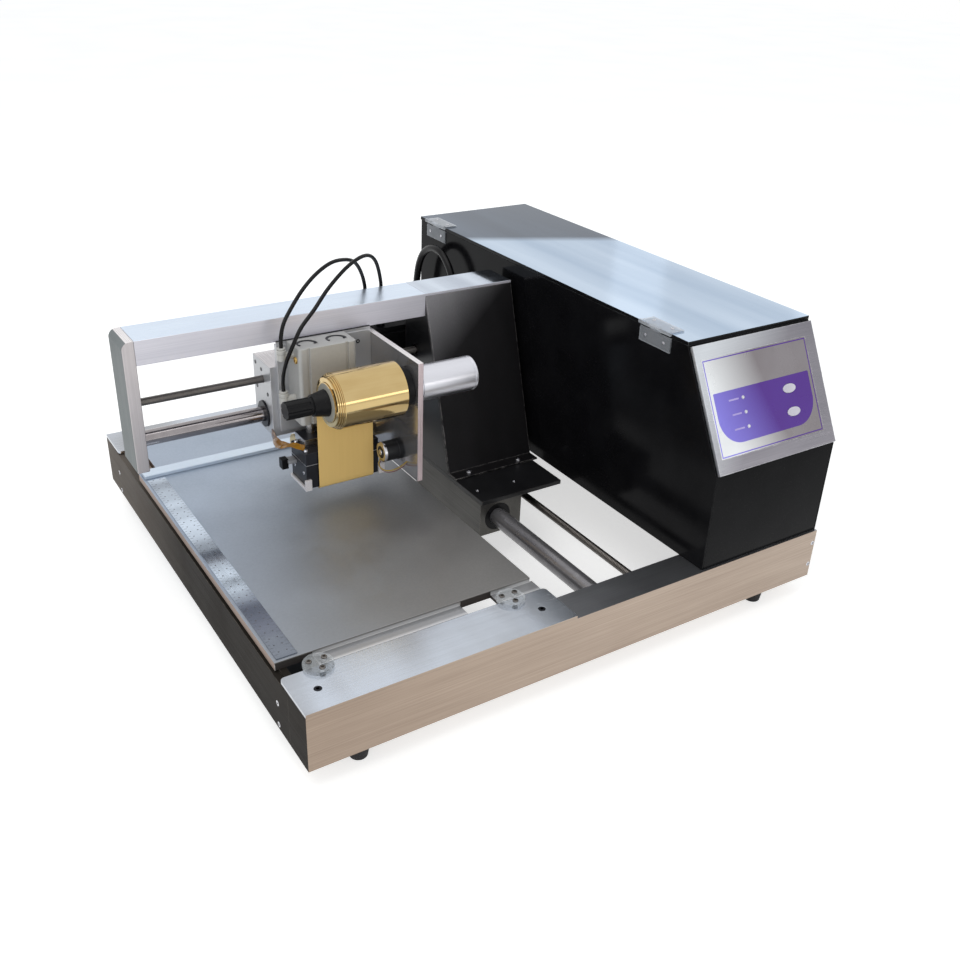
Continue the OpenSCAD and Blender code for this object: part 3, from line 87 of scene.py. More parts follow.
# mesh makers, all in drawing mm
def boxInto(bm, low, high):
    corners = [bm.verts.new(at(x, y, z)) for x in (low[0], high[0])
               for y in (low[1], high[1]) for z in (low[2], high[2])]
    for loop in ((0, 1, 3, 2), (4, 6, 7, 5), (0, 4, 5, 1), (2, 3, 7, 6), (0, 2, 6, 4), (1, 5, 7, 3)):
        bm.faces.new([corners[i] for i in loop])


def turnedFrame(axis):
    along = Vector(axis).normalized()
    helper = Vector(toTop) if abs(along.z) < 0.9 else Vector(toRight)
    side = along.cross(helper).normalized()
    return along, side, along.cross(side)


def joinRings(bm, rings):
    for near, far in zip(rings, rings[1:]):
        steps = max(len(near), len(far))
        for k in range(steps):
            after = (k + 1) % steps
            if len(near) == 1:
                bm.faces.new((near[0], far[after], far[k]))
            elif len(far) == 1:
                bm.faces.new((near[k], near[after], far[0]))
            else:
                bm.faces.new((near[k], near[after], far[after], far[k]))


def closeRings(bm, rings):
    joinRings(bm, rings)
    for end in (rings[0], rings[-1]):
        if len(end) > 1:
            bm.faces.new(end)


def ringOf(bm, centre, side, up, radius, steps):
    if radius == 0:
        return [bm.verts.new(centre)]
    ring = []
    for k in range(steps):
        turn = fullTurn * k / steps
        reach = radius(turn) if callable(radius) else radius
        ring.append(bm.verts.new(centre + (side * math.cos(turn) + up * math.sin(turn)) * reach / 1000))
    return ring


def latheInto(bm, base, axis, profile, steps, closed=False):
    # a profile lists how far along the axis and how far out, in mm; a closed one is a ring
    along, side, up = turnedFrame(axis)
    rings = [ringOf(bm, base + along * reach / 1000, side, up, radius, steps) for reach, radius in profile]
    if closed:
        joinRings(bm, rings + rings[:1])
    else:
        closeRings(bm, rings)


def screwsInto(bm, head, axis, places):
    radius, height, socket, depth, skirt = screwHeads[head]
    halfSide = math.pi / 6

    def hexagon(turn):
        return socket * math.cos(halfSide) / math.cos(turn % (2 * halfSide) - halfSide)

    profile = [(-skirt, 0), (-skirt, radius), (height * 0.6, radius), (height * 0.9, radius * 0.94),
               (height, radius * 0.82), (height, hexagon), (height - depth, hexagon), (height - depth, 0)]
    for place in places:
        latheInto(bm, at(*place), axis, profile, 24)


def headingAt(path, i):
    return (path[min(i + 1, len(path) - 1)] - path[max(i - 1, 0)]).normalized()


def tubeInto(bm, path, radius, steps):
    side = turnedFrame(path[1] - path[0])[1]
    rings = []
    for i, point in enumerate(path):
        ahead = headingAt(path, i)
        side = (side - ahead * side.dot(ahead)).normalized()
        rings.append(ringOf(bm, point, side, ahead.cross(side), radius(i) if callable(radius) else radius, steps))
    closeRings(bm, rings)


def smoothPath(route, between):
    points = [at(*p) for p in route]
    ends = [points[0] * 2 - points[1]] + points + [points[-1] * 2 - points[-2]]
    path = []
    for a, b, c, d in zip(ends, ends[1:], ends[2:], ends[3:]):
        for k in range(between):
            t = k / between
            path.append(0.5 * (2 * b + (c - a) * t + (2 * a - 5 * b + 4 * c - d) * t * t
                               + (3 * b - a - 3 * c + d) * t ** 3))
    return path + [points[-1]]


def sheetInto(bm, outline, place, low, high, holes=()):
    levels = []
    for level in (low, high):
        rings = [[bm.verts.new(place(u, v, level)) for u, v in loop] for loop in (outline, *holes)]
        if holes:
            edges = [bm.edges.new(pair) for ring in rings for pair in zip(ring, ring[1:] + ring[:1])]
            bmesh.ops.triangle_fill(bm, edges=edges, use_beauty=True)
        else:
            bm.faces.new(rings[0])
        levels.append(rings)
    for floor, roof in zip(*levels):
        joinRings(bm, [floor, roof])


def ovalOf(u, v, half, steps=40):
    turns = [fullTurn * k / steps for k in range(steps)]
    return [(u + half[0] * math.cos(turn), v + half[1] * math.sin(turn)) for turn in turns]


def roundedBox(low, high, radii, steps=8):
    # corner radii run from the lower left corner, anticlockwise
    spots = ((low[0], low[1], 180), (high[0], low[1], 270), (high[0], high[1], 0), (low[0], high[1], 90))
    outline = []
    for (x, y, start), radius in zip(spots, radii):
        x += radius if x == low[0] else -radius
        y += radius if y == low[1] else -radius
        for k in range(steps + 1 if radius else 1):
            turn = math.radians(start + 90 * k / steps)
            outline.append((x + radius * math.cos(turn), y + radius * math.sin(turn)))
    return outline


# a piece names its finish and its body; the CAD slot it stands for, where that isn't its finish, is not used
def makePiece(name, bm, finish, body, slot=None, stands=(), bevel=0.0, sharp=35):
    layers = [finish] if isinstance(finish, str) else finish
    bmesh.ops.recalc_face_normals(bm, faces=bm.faces)
    for face in bm.faces:
        face.smooth = True
    if not bevel:
        for edge in bm.edges:
            edge.smooth = edge.calc_face_angle(0) < math.radians(sharp)
    mesh = bpy.data.meshes.new(name)
    bm.to_mesh(mesh)
    bm.free()
    for layer in layers:
        mesh.materials.append(finishes[layer])
    piece = bpy.data.objects.new(name, mesh)
    scene.collection.objects.link(piece)
    if bevel:
        softEdge = piece.modifiers.new("softEdge", "BEVEL")
        softEdge.width, softEdge.segments = bevel / 1000, 2
        softEdge.limit_method, softEdge.angle_limit = "ANGLE", math.radians(sharp)
        flatFaces = piece.modifiers.new("flatFaces", "WEIGHTED_NORMAL")
        flatFaces.weight, flatFaces.keep_sharp = 100, True
    if body:
        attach(piece, body)
    slot or layers[0]
    if stands:
        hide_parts(*stands)
    return piece


def buildPiece(name, maker, rows, finish, body, **more):
    bm = bmesh.new()
    for row in rows:
        maker(bm, *row)
    return makePiece(name, bm, finish, body, **more)


def camel(node):
    first, *rest = node.split("_")
    return first + "".join(word.capitalize() for word in rest)


def dress(node, bevel, finish=None, name=None, pick=None, facets=()):
    # the CAD solid's own shape, cleaned up, with softened edges and a real finish;
    # facets give the faces that look one way, below a height if one is given, a finish of their own
    source = nodes[node]
    slot = source.data.materials[0].name
    bm = bmesh.new()
    bm.from_mesh(source.data)
    bmesh.ops.remove_doubles(bm, verts=bm.verts, dist=2e-6)
    bmesh.ops.dissolve_limit(bm, angle_limit=0.004, verts=bm.verts, edges=bm.edges)
    if pick:
        bmesh.ops.delete(bm, geom=[v for v in bm.verts if not pick(v.co)], context="VERTS")
    bm.normal_update()
    for k, (layer, way, *below) in enumerate(facets, 1):
        for face in bm.faces:
            if face.normal.dot(Vector(way)) > 0.9 and (not below or face.calc_center_median().z < below[0]):
                face.material_index = k
    makePiece(name or camel(node), bm, [finish or slot] + [facet[0] for facet in facets], source["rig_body"],
              slot, (node,), bevel)


# shader nodes; a colour is written in screen levels from 0 to 255
def feed(tree, node, inputs):
    for key, value in inputs.items():
        if isinstance(value, bpy.types.NodeSocket):
            tree.links.new(value, node.inputs[key])
        else:
            node.inputs[key].default_value = value


def addNode(tree, kind, inputs, **settings):
    node = tree.nodes.new("ShaderNode" + kind)
    for key, value in settings.items():
        setattr(node, key, value)
    feed(tree, node, inputs)
    return node


def rangeOf(tree, value, low, high, toLow=0.0, toHigh=1.0):
    return addNode(tree, "MapRange", {0: value, 1: low, 2: high, 3: toLow, 4: toHigh}).outputs[0]


def maths(tree, operation, *values):
    return addNode(tree, "Math", dict(enumerate(values)), operation=operation, use_clamp=True).outputs[0]


def vectorMaths(tree, operation, first, second):
    return addNode(tree, "VectorMath", {0: first, 1: second}, operation=operation)


def blendColour(tree, factor, *colours):
    first, second = [c if isinstance(c, bpy.types.NodeSocket) else tone(*c) for c in colours]
    return addNode(tree, "Mix", {0: factor, 6: first, 7: second}, data_type="RGBA").outputs[2]


def spotOn(tree):
    return addNode(tree, "TexCoord", {}).outputs["Object"]


def noiseOf(tree, vector, scale, detail=3.0, roughness=0.55):
    return addNode(tree, "TexNoise", {"Vector": vector, "Scale": scale, "Detail": detail,
                                      "Roughness": roughness}).outputs[0]


# shared effects
def newGroup(name, inputs, outputs):
    group = bpy.data.node_groups.new(name, "ShaderNodeTree")
    for label, value in inputs.items():
        kind = "NodeSocketVector" if isinstance(value, tuple) else "NodeSocketFloat"
        group.interface.new_socket(name=label, in_out="INPUT", socket_type=kind).default_value = value
    for label in outputs:
        group.interface.new_socket(name=label, in_out="OUTPUT", socket_type="NodeSocketFloat")
    return group, group.nodes.new("NodeGroupInput").outputs, group.nodes.new("NodeGroupOutput")


brushLines, given, result = newGroup("brushLines", {"Stretch": (10, 900, 900), "Patch": (9, 30, 30)},
                                     ["Lines", "Patches"])
fine, wide = [vectorMaths(brushLines, "MULTIPLY", spotOn(brushLines), given[label]).outputs[0]
              for label in ("Stretch", "Patch")]
feed(brushLines, result, {"Lines": rangeOf(brushLines, noiseOf(brushLines, fine, 1.0, 4.0, 0.65), 0.3, 0.7),
                          "Patches": rangeOf(brushLines, noiseOf(brushLines, wide, 1.0, 2.0), 0.36, 0.64)})

handling, given, result = newGroup("handling", {"Scale": 14.0}, ["Smudge", "Dust"])
smear = noiseOf(handling, spotOn(handling), given["Scale"], 5.0)
specks = noiseOf(handling, spotOn(handling), 950.0, 2.0)
feed(handling, result, {"Smudge": rangeOf(handling, smear, 0.45, 0.75),
                        "Dust": rangeOf(handling, specks, 0.64, 0.72)})

edgeWear, given, result = newGroup("edgeWear", {"Radius": 0.001, "Breakup": 160.0}, ["Wear"])
rounded = addNode(edgeWear, "Bevel", {"Radius": given["Radius"]}, samples=6).outputs[0]
facing = addNode(edgeWear, "NewGeometry", {}).outputs["Normal"]
agree = vectorMaths(edgeWear, "DOT_PRODUCT", rounded, facing).outputs[1]
broken = rangeOf(edgeWear, noiseOf(edgeWear, spotOn(edgeWear), given["Breakup"]), 0.35, 0.62)
feed(edgeWear, result, {"Wear": maths(edgeWear, "MULTIPLY", rangeOf(edgeWear, agree, 0.985, 0.86), broken)})

drift, given, result = newGroup("drift", {"Way": toRight, "From": 0.0, "To": 1.0}, ["Share"])
reach = vectorMaths(drift, "DOT_PRODUCT", spotOn(drift), given["Way"]).outputs[1]
feed(drift, result, {"Share": rangeOf(drift, reach, given["From"], given["To"])})

mouldGrain, given, result = newGroup("mouldGrain", {"Scale": 700.0}, ["Height", "Mottle"])
mottle = noiseOf(mouldGrain, spotOn(mouldGrain), 26.0, 4.0)
feed(mouldGrain, result, {"Height": noiseOf(mouldGrain, spotOn(mouldGrain), given["Scale"], 2.0),
                          "Mottle": rangeOf(mouldGrain, mottle, 0.35, 0.65)})


def placeGroup(tree, group, **values):
    return addNode(tree, "Group", values, node_tree=group).outputs


def newFinish(name):
    finish = bpy.data.materials.new(camel(name))
    finish.use_nodes = True
    finishes[name] = finish
    return finish.node_tree, finish.node_tree.nodes["Principled BSDF"]


def bumpTo(tree, shader, height, strength, distance=0.0002):
    bump = addNode(tree, "Bump", {"Strength": strength, "Distance": distance, "Height": height})
    feed(tree, shader, {"Normal": bump.outputs[0]})


def wornColour(tree, colour, look):
    if "wear" not in look:
        return colour
    edge = placeGroup(tree, edgeWear, Radius=look["wearRadius"])
    return blendColour(tree, maths(tree, "MULTIPLY", edge["Wear"], look["wear"]), colour, look["bare"])


def driftColour(tree, look, near, far):
    way, first, last = look["drift"]
    return blendColour(tree, placeGroup(tree, drift, Way=way, From=first, To=last)["Share"], near, far)


metalBase = dict(stretch=(300, 300, 300), patch=(9, 9, 9), lineMix=0.5, patchMix=0.4, smudge=0.08, smudgeScale=14.0,
                 metallic=1.0, specular=0.5, bump=0.15, wearRadius=0.0008)
paintBase = dict(grain=700.0, smudgeScale=14.0, specular=0.5, metallic=0.0, coat=0.0, bump=0.1, bumpDistance=0.0002,
                 wearRadius=0.0008, dustColour=(150, 148, 145))


def metalFinish(name, **look):
    # brushed metal: colour to tint along the brush lines and in patches, and on to the far colours along the drift, a
    # painted gradient of reflection and shade
    look = {**metalBase, **look}
    tree, shader = newFinish(name)
    brush = placeGroup(tree, brushLines, Stretch=look["stretch"], Patch=look["patch"])
    hands = placeGroup(tree, handling, Scale=look["smudgeScale"])
    share = maths(tree, "MULTIPLY", brush["Lines"], look["lineMix"])
    share = maths(tree, "MULTIPLY_ADD", brush["Patches"], look["patchMix"], share)
    colour = blendColour(tree, share, look["colour"], look["tint"])
    if "far" in look:
        colour = driftColour(tree, look, colour, blendColour(tree, share, look["far"], look["farTint"]))
    rough = rangeOf(tree, brush["Lines"], 0.0, 1.0, *look["roughness"])
    feed(tree, shader, {"Base Color": wornColour(tree, colour, look),
                        "Roughness": maths(tree, "MULTIPLY_ADD", hands["Smudge"], look["smudge"], rough),
                        "Metallic": look["metallic"], "Specular IOR Level": look["specular"]})
    bumpTo(tree, shader, brush["Lines"], look["bump"])


def paintFinish(name, **look):
    # paint and plastic: colour to tint in a mottle; a film drifts to its far colour, with a trace of tint
    look = {**paintBase, **look}
    tree, shader = newFinish(name)
    grain = placeGroup(tree, mouldGrain, Scale=look["grain"])
    hands = placeGroup(tree, handling, Scale=look["smudgeScale"])
    colour, share = look["colour"], grain["Mottle"]
    if "far" in look:
        colour = driftColour(tree, look, colour, look["far"])
        share = maths(tree, "MULTIPLY", share, look["trace"])
    colour = blendColour(tree, share, colour, look["tint"])
    if "dust" in look:
        dusty = maths(tree, "MULTIPLY", hands["Dust"], look["dust"])
        colour = blendColour(tree, dusty, colour, look["dustColour"])
    feed(tree, shader, {"Base Color": wornColour(tree, colour, look),
                        "Roughness": rangeOf(tree, hands["Smudge"], 0.0, 1.0, *look["roughness"]),
                        "Metallic": look["metallic"], "Specular IOR Level": look["specular"],
                        "Coat Weight": look["coat"]})
    bumpTo(tree, shader, grain["Height"], look["bump"], look["bumpDistance"])


def clearFinish(name, **look):
    tree, shader = newFinish(name)
    smudge = placeGroup(tree, handling, Scale=look["smudgeScale"])["Smudge"]
    rim = addNode(tree, "LayerWeight", {"Blend": look["rim"]}).outputs["Facing"]
    feed(tree, shader, {"Base Color": blendColour(tree, smudge, look["colour"], look["tint"]),
                        "Roughness": rangeOf(tree, smudge, 0.0, 1.0, *look["roughness"]), "IOR": look["ior"],
                        "Alpha": rangeOf(tree, rim, 0.0, 1.0, *look["alpha"])})


alongX, alongY, alongZ = (9, 1300, 1300), (1300, 9, 1300), (1300, 1300, 9)
# finishes by the CAD's slots; drift is a direction with where it begins and ends, in metres; the far colours it leads
# to paint reflection and shade
metals = {
    # painted shade: the bar is drawn darker towards its left end and lighter towards the right
    "brushed_bar": dict(colour=(168, 151, 136), tint=(146, 129, 115), far=(182, 166, 152), farTint=(158, 142, 129),
        drift=((1, 0, 0), -0.28, 0.02), stretch=alongX, patch=(7, 60, 60), roughness=(0.3, 0.42), lineMix=0.7,
        patchMix=0.25),
    # painted light: the dark side paint grows lighter towards the back
    "dark_side": dict(colour=(48, 44, 40), tint=(36, 33, 31), far=(118, 110, 103), farTint=(96, 90, 84),
        drift=((0, 1, 0), 0.0, 0.26), stretch=alongY, patch=(20, 5, 20), roughness=(0.4, 0.52), metallic=0.0,
        specular=0.02, wear=0.5, bare=(150, 142, 134)),
    # painted reflection: bluish white and grey patches along the cover plates
    "bright_cover": dict(colour=(206, 214, 226), tint=(160, 161, 163), stretch=alongX, patch=(13, 5, 5),
        roughness=(0.18, 0.26), lineMix=0.15, patchMix=0.75, bump=0.05, wear=0.15, bare=(236, 228, 232)),
    # painted reflection: the bed is drawn bluish and light at the rear left, plain grey towards the front right
    "bed_grey": dict(colour=(172, 183, 198), tint=(163, 173, 186), far=(146, 145, 144), farTint=(136, 135, 134),
        drift=((0.83, -0.56, 0), -0.24, 0.02), stretch=(420, 420, 420), patch=(6, 6, 6), roughness=(0.46, 0.56),
        lineMix=0.25, patchMix=0.6, bump=0.06, smudge=0.12),
    # painted reflection: bluish white on the rule's rear part, greyer at the front, with bright mirror-like patches
    # along it
    "rule_steel": dict(colour=(214, 227, 242), tint=(118, 125, 135), far=(150, 157, 168), farTint=(110, 116, 126),
        drift=((0, -1, 0), 0.105, 0.132), stretch=alongY, patch=(0.5, 15, 0.5), roughness=(0.08, 0.16),
        lineMix=0.08, patchMix=0.85, bump=0.02),
    "black_screw": dict(colour=(52, 53, 58), tint=(34, 35, 40), roughness=(0.28, 0.42), wear=0.6,
        bare=(120, 120, 124), wearRadius=0.0003),
    "shaft_steel": dict(colour=(166, 161, 162), tint=(132, 127, 129), stretch=(60, 60, 60), roughness=(0.08, 0.15),
        bump=0.03),
    "screw_steel": dict(colour=(124, 120, 117), tint=(88, 84, 81), stretch=(500, 500, 500), roughness=(0.26, 0.4),
        bump=0.1),
    "block_alu": dict(colour=(96, 95, 92), tint=(74, 73, 71), stretch=alongY, patch=(14, 9, 14),
        roughness=(0.34, 0.46), wear=0.5, bare=(172, 168, 163)),
    "bushing_dark": dict(colour=(62, 62, 66), tint=(42, 42, 46), roughness=(0.26, 0.36)),
    # painted highlight: the pillar cover goes from near black to light grey towards its upper left
    "pillar_dark": dict(colour=(42, 41, 43), tint=(27, 26, 28), far=(140, 139, 142), farTint=(124, 123, 126),
        drift=((-0.624, 0, 0.781), 0.131, 0.19), stretch=alongZ, patch=(26, 9, 9), roughness=(0.36, 0.46),
        lineMix=0.45, patchMix=0.5, metallic=0.6, specular=0.3, wear=1.0, bare=(182, 178, 176), wearRadius=0.0018),
    "beam_alu": dict(colour=(232, 230, 238), tint=(208, 207, 217), stretch=alongX, patch=(8, 30, 30),
        roughness=(0.36, 0.46), lineMix=0.55, patchMix=0.3, metallic=0.45),
    "end_alu": dict(colour=(138, 143, 144), tint=(122, 128, 129), stretch=alongZ, patch=(20, 20, 9),
        roughness=(0.36, 0.48), metallic=0.05, specular=0.05, wear=0.5, bare=(216, 208, 210)),
    "head_alu": dict(colour=(196, 197, 200), tint=(176, 177, 181), stretch=alongZ, patch=(14, 14, 8),
        roughness=(0.26, 0.36), lineMix=0.2, patchMix=0.3, bump=0.04, metallic=0.5, specular=0.35, wear=0.7,
        bare=(236, 230, 232)),
    "cylinder_alu": dict(colour=(192, 192, 190), tint=(176, 176, 174), stretch=(340, 340, 340),
        roughness=(0.44, 0.54), lineMix=0.3, bump=0.05, wear=0.35, bare=(226, 225, 222), metallic=0.3),
    "motor_silver": dict(colour=(218, 219, 226), tint=(202, 202, 210), stretch=(40, 900, 900), patch=(12, 30, 30),
        roughness=(0.3, 0.33), lineMix=0.1, patchMix=0.1, bump=0.0, smudge=0.0),
    "guard_silver": dict(colour=(200, 199, 200), tint=(166, 165, 166), stretch=alongX, roughness=(0.22, 0.34),
        wear=0.5, bare=(236, 234, 234)),
    # painted shade: the panel is light at its upper left and darker towards the lower right
    "panel_silver": dict(colour=(214, 219, 224), tint=(190, 195, 201), far=(138, 136, 143), farTint=(120, 119, 126),
        drift=((0.71, 0, -0.7), -0.088, -0.008), stretch=alongX, patch=(9, 16, 16), roughness=(0.24, 0.36),
        wear=0.8, bare=(244, 246, 248), wearRadius=0.0014),
    # painted reflection: the lid top is bright and bluish at the front and dark blue-grey across the back, with
    # streak patches
    "lid_mirror": dict(colour=(198, 215, 234), tint=(158, 180, 205), far=(84, 98, 116), farTint=(62, 75, 92),
        drift=((0.42, 0.907, 0), 0.195, 0.215), stretch=(1500, 14, 14), patch=(17, 1.5, 5), roughness=(0.06, 0.12),
        lineMix=0.2, patchMix=0.75, bump=0.03, metallic=0.78, specular=0.0),
    "supply_steel": dict(colour=(184, 186, 188), tint=(160, 162, 165), stretch=alongY, roughness=(0.3, 0.42),
        wear=0.4, bare=(220, 220, 220)),
    "brass": dict(colour=(206, 172, 98), tint=(178, 142, 74), roughness=(0.22, 0.34), wear=0.5,
        bare=(232, 208, 140)),
    "foil_gold": dict(colour=(202, 178, 128), tint=(184, 156, 104), stretch=(8, 500, 500), patch=(22, 60, 60),
        roughness=(0.05, 0.09), lineMix=0.2, bump=0.02, smudge=0.04),
}
paints = {
    "rubber_black": dict(colour=(30, 30, 32), tint=(20, 20, 22), roughness=(0.78, 0.9), grain=900.0, bump=0.3,
        dust=0.3),
    "motor_black": dict(colour=(30, 31, 34), tint=(21, 22, 25), roughness=(0.36, 0.5), grain=600.0, bump=0.15,
        wear=0.4, bare=(110, 110, 114), specular=0.3),
    "plate_black": dict(colour=(29, 29, 31), tint=(20, 20, 22), roughness=(0.3, 0.44), grain=1100.0, bump=0.12,
        wear=0.9, bare=(128, 120, 114), specular=0.3),
    "fitting_grey": dict(colour=(206, 205, 200), tint=(188, 187, 182), roughness=(0.3, 0.42), grain=500.0),
    "tube_black": dict(colour=(16, 16, 18), tint=(11, 11, 13), roughness=(0.2, 0.32), grain=300.0, bump=0.08,
        specular=0.2),
    "hub_black": dict(colour=(16, 16, 18), tint=(11, 11, 13), roughness=(0.32, 0.46), grain=800.0, bump=0.15,
        dust=0.08, specular=0.16),
    "head_black": dict(colour=(36, 37, 43), tint=(25, 26, 31), roughness=(0.32, 0.46), grain=900.0, bump=0.12,
        wear=0.6, bare=(120, 122, 128), specular=0.3),
    "housing_black": dict(colour=(20, 20, 22), tint=(14, 14, 16), roughness=(0.12, 0.24), grain=240.0, bump=0.03,
        dust=0.05, specular=0.07, wear=0.7, bare=(92, 92, 96), wearRadius=0.0009),
    "button_silver": dict(colour=(226, 224, 234), tint=(208, 205, 218), roughness=(0.28, 0.4), coat=0.3),
    "board_green": dict(colour=(24, 92, 54), tint=(16, 74, 42), roughness=(0.3, 0.45), grain=420.0),
    "inlet_black": dict(colour=(26, 26, 28), tint=(18, 18, 20), roughness=(0.34, 0.48), grain=800.0, bump=0.2),
    # painted shade: the dark inside of holes
    "darkGap": dict(colour=(20, 20, 22), tint=(13, 13, 15), roughness=(0.5, 0.7)),
}
# metals of single faces and small pieces; many are lit and shaded copies of a part's metal, painting highlight,
# reflection and shade
facetMetals = {
    "brightMetal": dict(colour=(220, 220, 224), tint=(186, 186, 192), roughness=(0.16, 0.26), bump=0.05),
    # painted reflection: the bar's top is drawn bluish grey, unlike its tan front
    "barTop": dict(colour=(156, 158, 163), tint=(136, 137, 141), stretch=alongX, patch=(7, 60, 60),
        roughness=(0.26, 0.36), lineMix=0.6, patchMix=0.3, metallic=0.92),
    # painted shade: the bed's left face is drawn brown and darker than its top
    "bedEdge": dict(colour=(148, 128, 116), tint=(122, 104, 94), stretch=alongY, patch=(20, 8, 20),
        roughness=(0.34, 0.46)),
    # painted shadow: the bed's front faces are light, with a dark band along the top under the bed's edge
    "bedFront": dict(colour=(196, 196, 196), tint=(180, 180, 180), far=(120, 118, 116), farTint=(104, 102, 100),
        drift=((0, 0, 1), 0.0812, 0.0832), stretch=alongX, patch=(8, 20, 20), roughness=(0.36, 0.48), metallic=0.4),
    # painted highlight: a bright band along the lip's front edge, darker further back
    "lipTop": dict(colour=(216, 217, 220), tint=(200, 201, 204), far=(170, 171, 174), farTint=(156, 157, 160),
        drift=((0, 1, 0), -0.2295, -0.2265), stretch=(420, 420, 420), patch=(6, 6, 6), roughness=(0.32, 0.42),
        lineMix=0.25, bump=0.06),
    # painted shade: dark walls of the lip's window and the strip at the bed's front left
    "bedCut": dict(colour=(74, 70, 68), tint=(54, 51, 50), stretch=alongX, patch=(8, 20, 20), roughness=(0.4, 0.5),
        metallic=0.3, specular=0.2),
    "valveTop": dict(colour=(26, 26, 28), tint=(17, 17, 19), roughness=(0.46, 0.58), metallic=0.0, specular=0.02),
    # painted reflection: the fence's top and front are drawn bright bluish white
    "fenceBright": dict(colour=(224, 238, 252), tint=(208, 222, 240), stretch=alongX, patch=(10, 20, 20),
        roughness=(0.12, 0.22), bump=0.05, metallic=0.35),
    # painted reflection: the beam's top is drawn bluish white
    "beamTop": dict(colour=(222, 235, 250), tint=(204, 216, 232), stretch=alongX, patch=(8, 30, 30),
        roughness=(0.24, 0.34), lineMix=0.5, patchMix=0.3),
    # painted highlight: bright tops of plates, the end plate's chamfers and the head's guards
    "plateEdge": dict(colour=(244, 240, 240), tint=(226, 220, 221), stretch=alongY, patch=(20, 9, 20),
        roughness=(0.2, 0.3), lineMix=0.2, metallic=0.3),
    # painted reflection: the side plate's front face is drawn pinkish and lighter than its sides
    "plateFront": dict(colour=(214, 196, 199), tint=(198, 182, 185), stretch=alongZ, patch=(20, 20, 9),
        roughness=(0.2, 0.3), lineMix=0.2, metallic=0.4),
    # painted reflection: bluish and white patches on the pillar's top plate
    "topPolish": dict(colour=(206, 217, 231), tint=(166, 176, 192), stretch=(60, 60, 60), patch=(30, 4, 4),
        roughness=(0.06, 0.12), lineMix=0.1, patchMix=0.7, bump=0.02),
    "sidePolish": dict(colour=(196, 196, 199), tint=(180, 180, 184), stretch=(60, 60, 60), patch=(12, 12, 12),
        roughness=(0.1, 0.16), lineMix=0.15, patchMix=0.4, bump=0.02, wear=0.2, bare=(240, 226, 228), metallic=0.8),
    "darkShaft": dict(colour=(150, 149, 152), tint=(120, 118, 121), stretch=(60, 60, 60), roughness=(0.2, 0.28),
        bump=0.03, metallic=0.6),
    # painted light: the end plate's front face is drawn lighter and pinkish than its grey sides
    "endFront": dict(colour=(206, 200, 201), tint=(180, 175, 176), stretch=alongZ, patch=(20, 20, 9),
        roughness=(0.3, 0.42)),
}
clears = {
    "clear_plastic": dict(colour=(236, 240, 242), tint=(222, 228, 231), roughness=(0.04, 0.12), ior=1.47,
        smudgeScale=40.0, rim=0.3, alpha=(0.05, 0.8)),
    "hinge_smoke": dict(colour=(214, 219, 226), tint=(190, 196, 204), roughness=(0.06, 0.14), ior=1.47,
        smudgeScale=40.0, rim=0.35, alpha=(0.12, 0.9)),
}
for maker, looks in ((metalFinish, metals), (metalFinish, facetMetals), (paintFinish, paints),
                     (clearFinish, clears)):
    for name, look in looks.items():
        maker(name, **look)
print("finishes made:", len(finishes))

# camera, from the photograph's own perspective
viewpoint = {"place": (-0.51478, -0.867595, 0.627158), "right": (0.8427451, -0.53711146, 0.03594415),
             "down": (-0.22921598, -0.41845995, -0.8788352), "ahead": (0.48707364, 0.73239508, -0.4757696),
             "lens": 38.916, "sensor": 36.0}
cameraData = bpy.data.cameras.new("camera")
cameraData.lens, cameraData.sensor_width = viewpoint["lens"], viewpoint["sensor"]
camera = bpy.data.objects.new("camera", cameraData)
turned = Matrix((viewpoint["right"], -Vector(viewpoint["down"]), -Vector(viewpoint["ahead"]))).transposed()
camera.matrix_world = Matrix.Translation(viewpoint["place"]) @ turned.to_4x4()
scene.collection.objects.link(camera)
scene.camera = camera


# cords
def declareCord(path):
    length = sum((b - a).length for a, b in zip(path, path[1:]))
    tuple(path[0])


airTubes = {"diameter": 4.0, "routes": {
    "Upper": [(125, 319, 250), (126, 320, 261), (131, 324, 272), (140, 329, 282), (156, 335, 298), (175, 343, 310),
              (196, 352, 316.7), (216, 362, 315), (232, 372, 308), (245, 383, 293), (254, 392, 273), (257, 398, 252),
              (257, 399, 242), (257, 399, 232)],
    "Lower": [(125, 319, 204), (125, 319, 214), (125, 315, 226), (127, 310, 240), (134, 310, 254), (145, 314, 269),
              (163, 322, 282), (186, 335, 298), (216, 351, 312), (243, 366, 315), (262, 381, 302), (273, 391, 275),
              (276, 398, 252), (276, 399, 242), (276, 399, 232)]}}
for label, route in airTubes["routes"].items():
    path = smoothPath(route, 5)
    tube = buildPiece("airTube" + label, tubeInto, [(path, airTubes["diameter"] / 2, 14)], "tube_black", "head",
                      stands=("air_tube_" + label.lower(),), sharp=50)
    declareCord(path)

cableLook = {"diameter": 9.0, "rib": 0.35, "bendFrom": (404, 400, 150), "bendTo": (404, 548, 150), "route": [
    (398, 392, 118), (398, 402, 118), (399, 416, 122), (400, 429, 131), (402, 439, 147), (403, 444, 168),
    (404, 447, 192), (404, 449, 216), (404, 454, 238), (404, 466, 256), (404, 484, 267), (404, 505, 267),
    (404, 524, 257), (404, 536, 240), (404, 542, 218), (404, 545, 194), (404, 547, 169), (404, 547, 145),
    (404, 547, 121), (404, 547, 102), (404, 547, 92)]}
path = smoothPath(cableLook["route"], 12)
ribbed = (path, lambda i: cableLook["diameter"] / 2 - cableLook["rib"] * (i % 2), 16)
cableLoop = buildPiece("cableLoop", tubeInto, [ribbed], "tube_black", None, stands=("cable_loop",), sharp=75)
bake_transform(cableLoop)
declareCord(path)

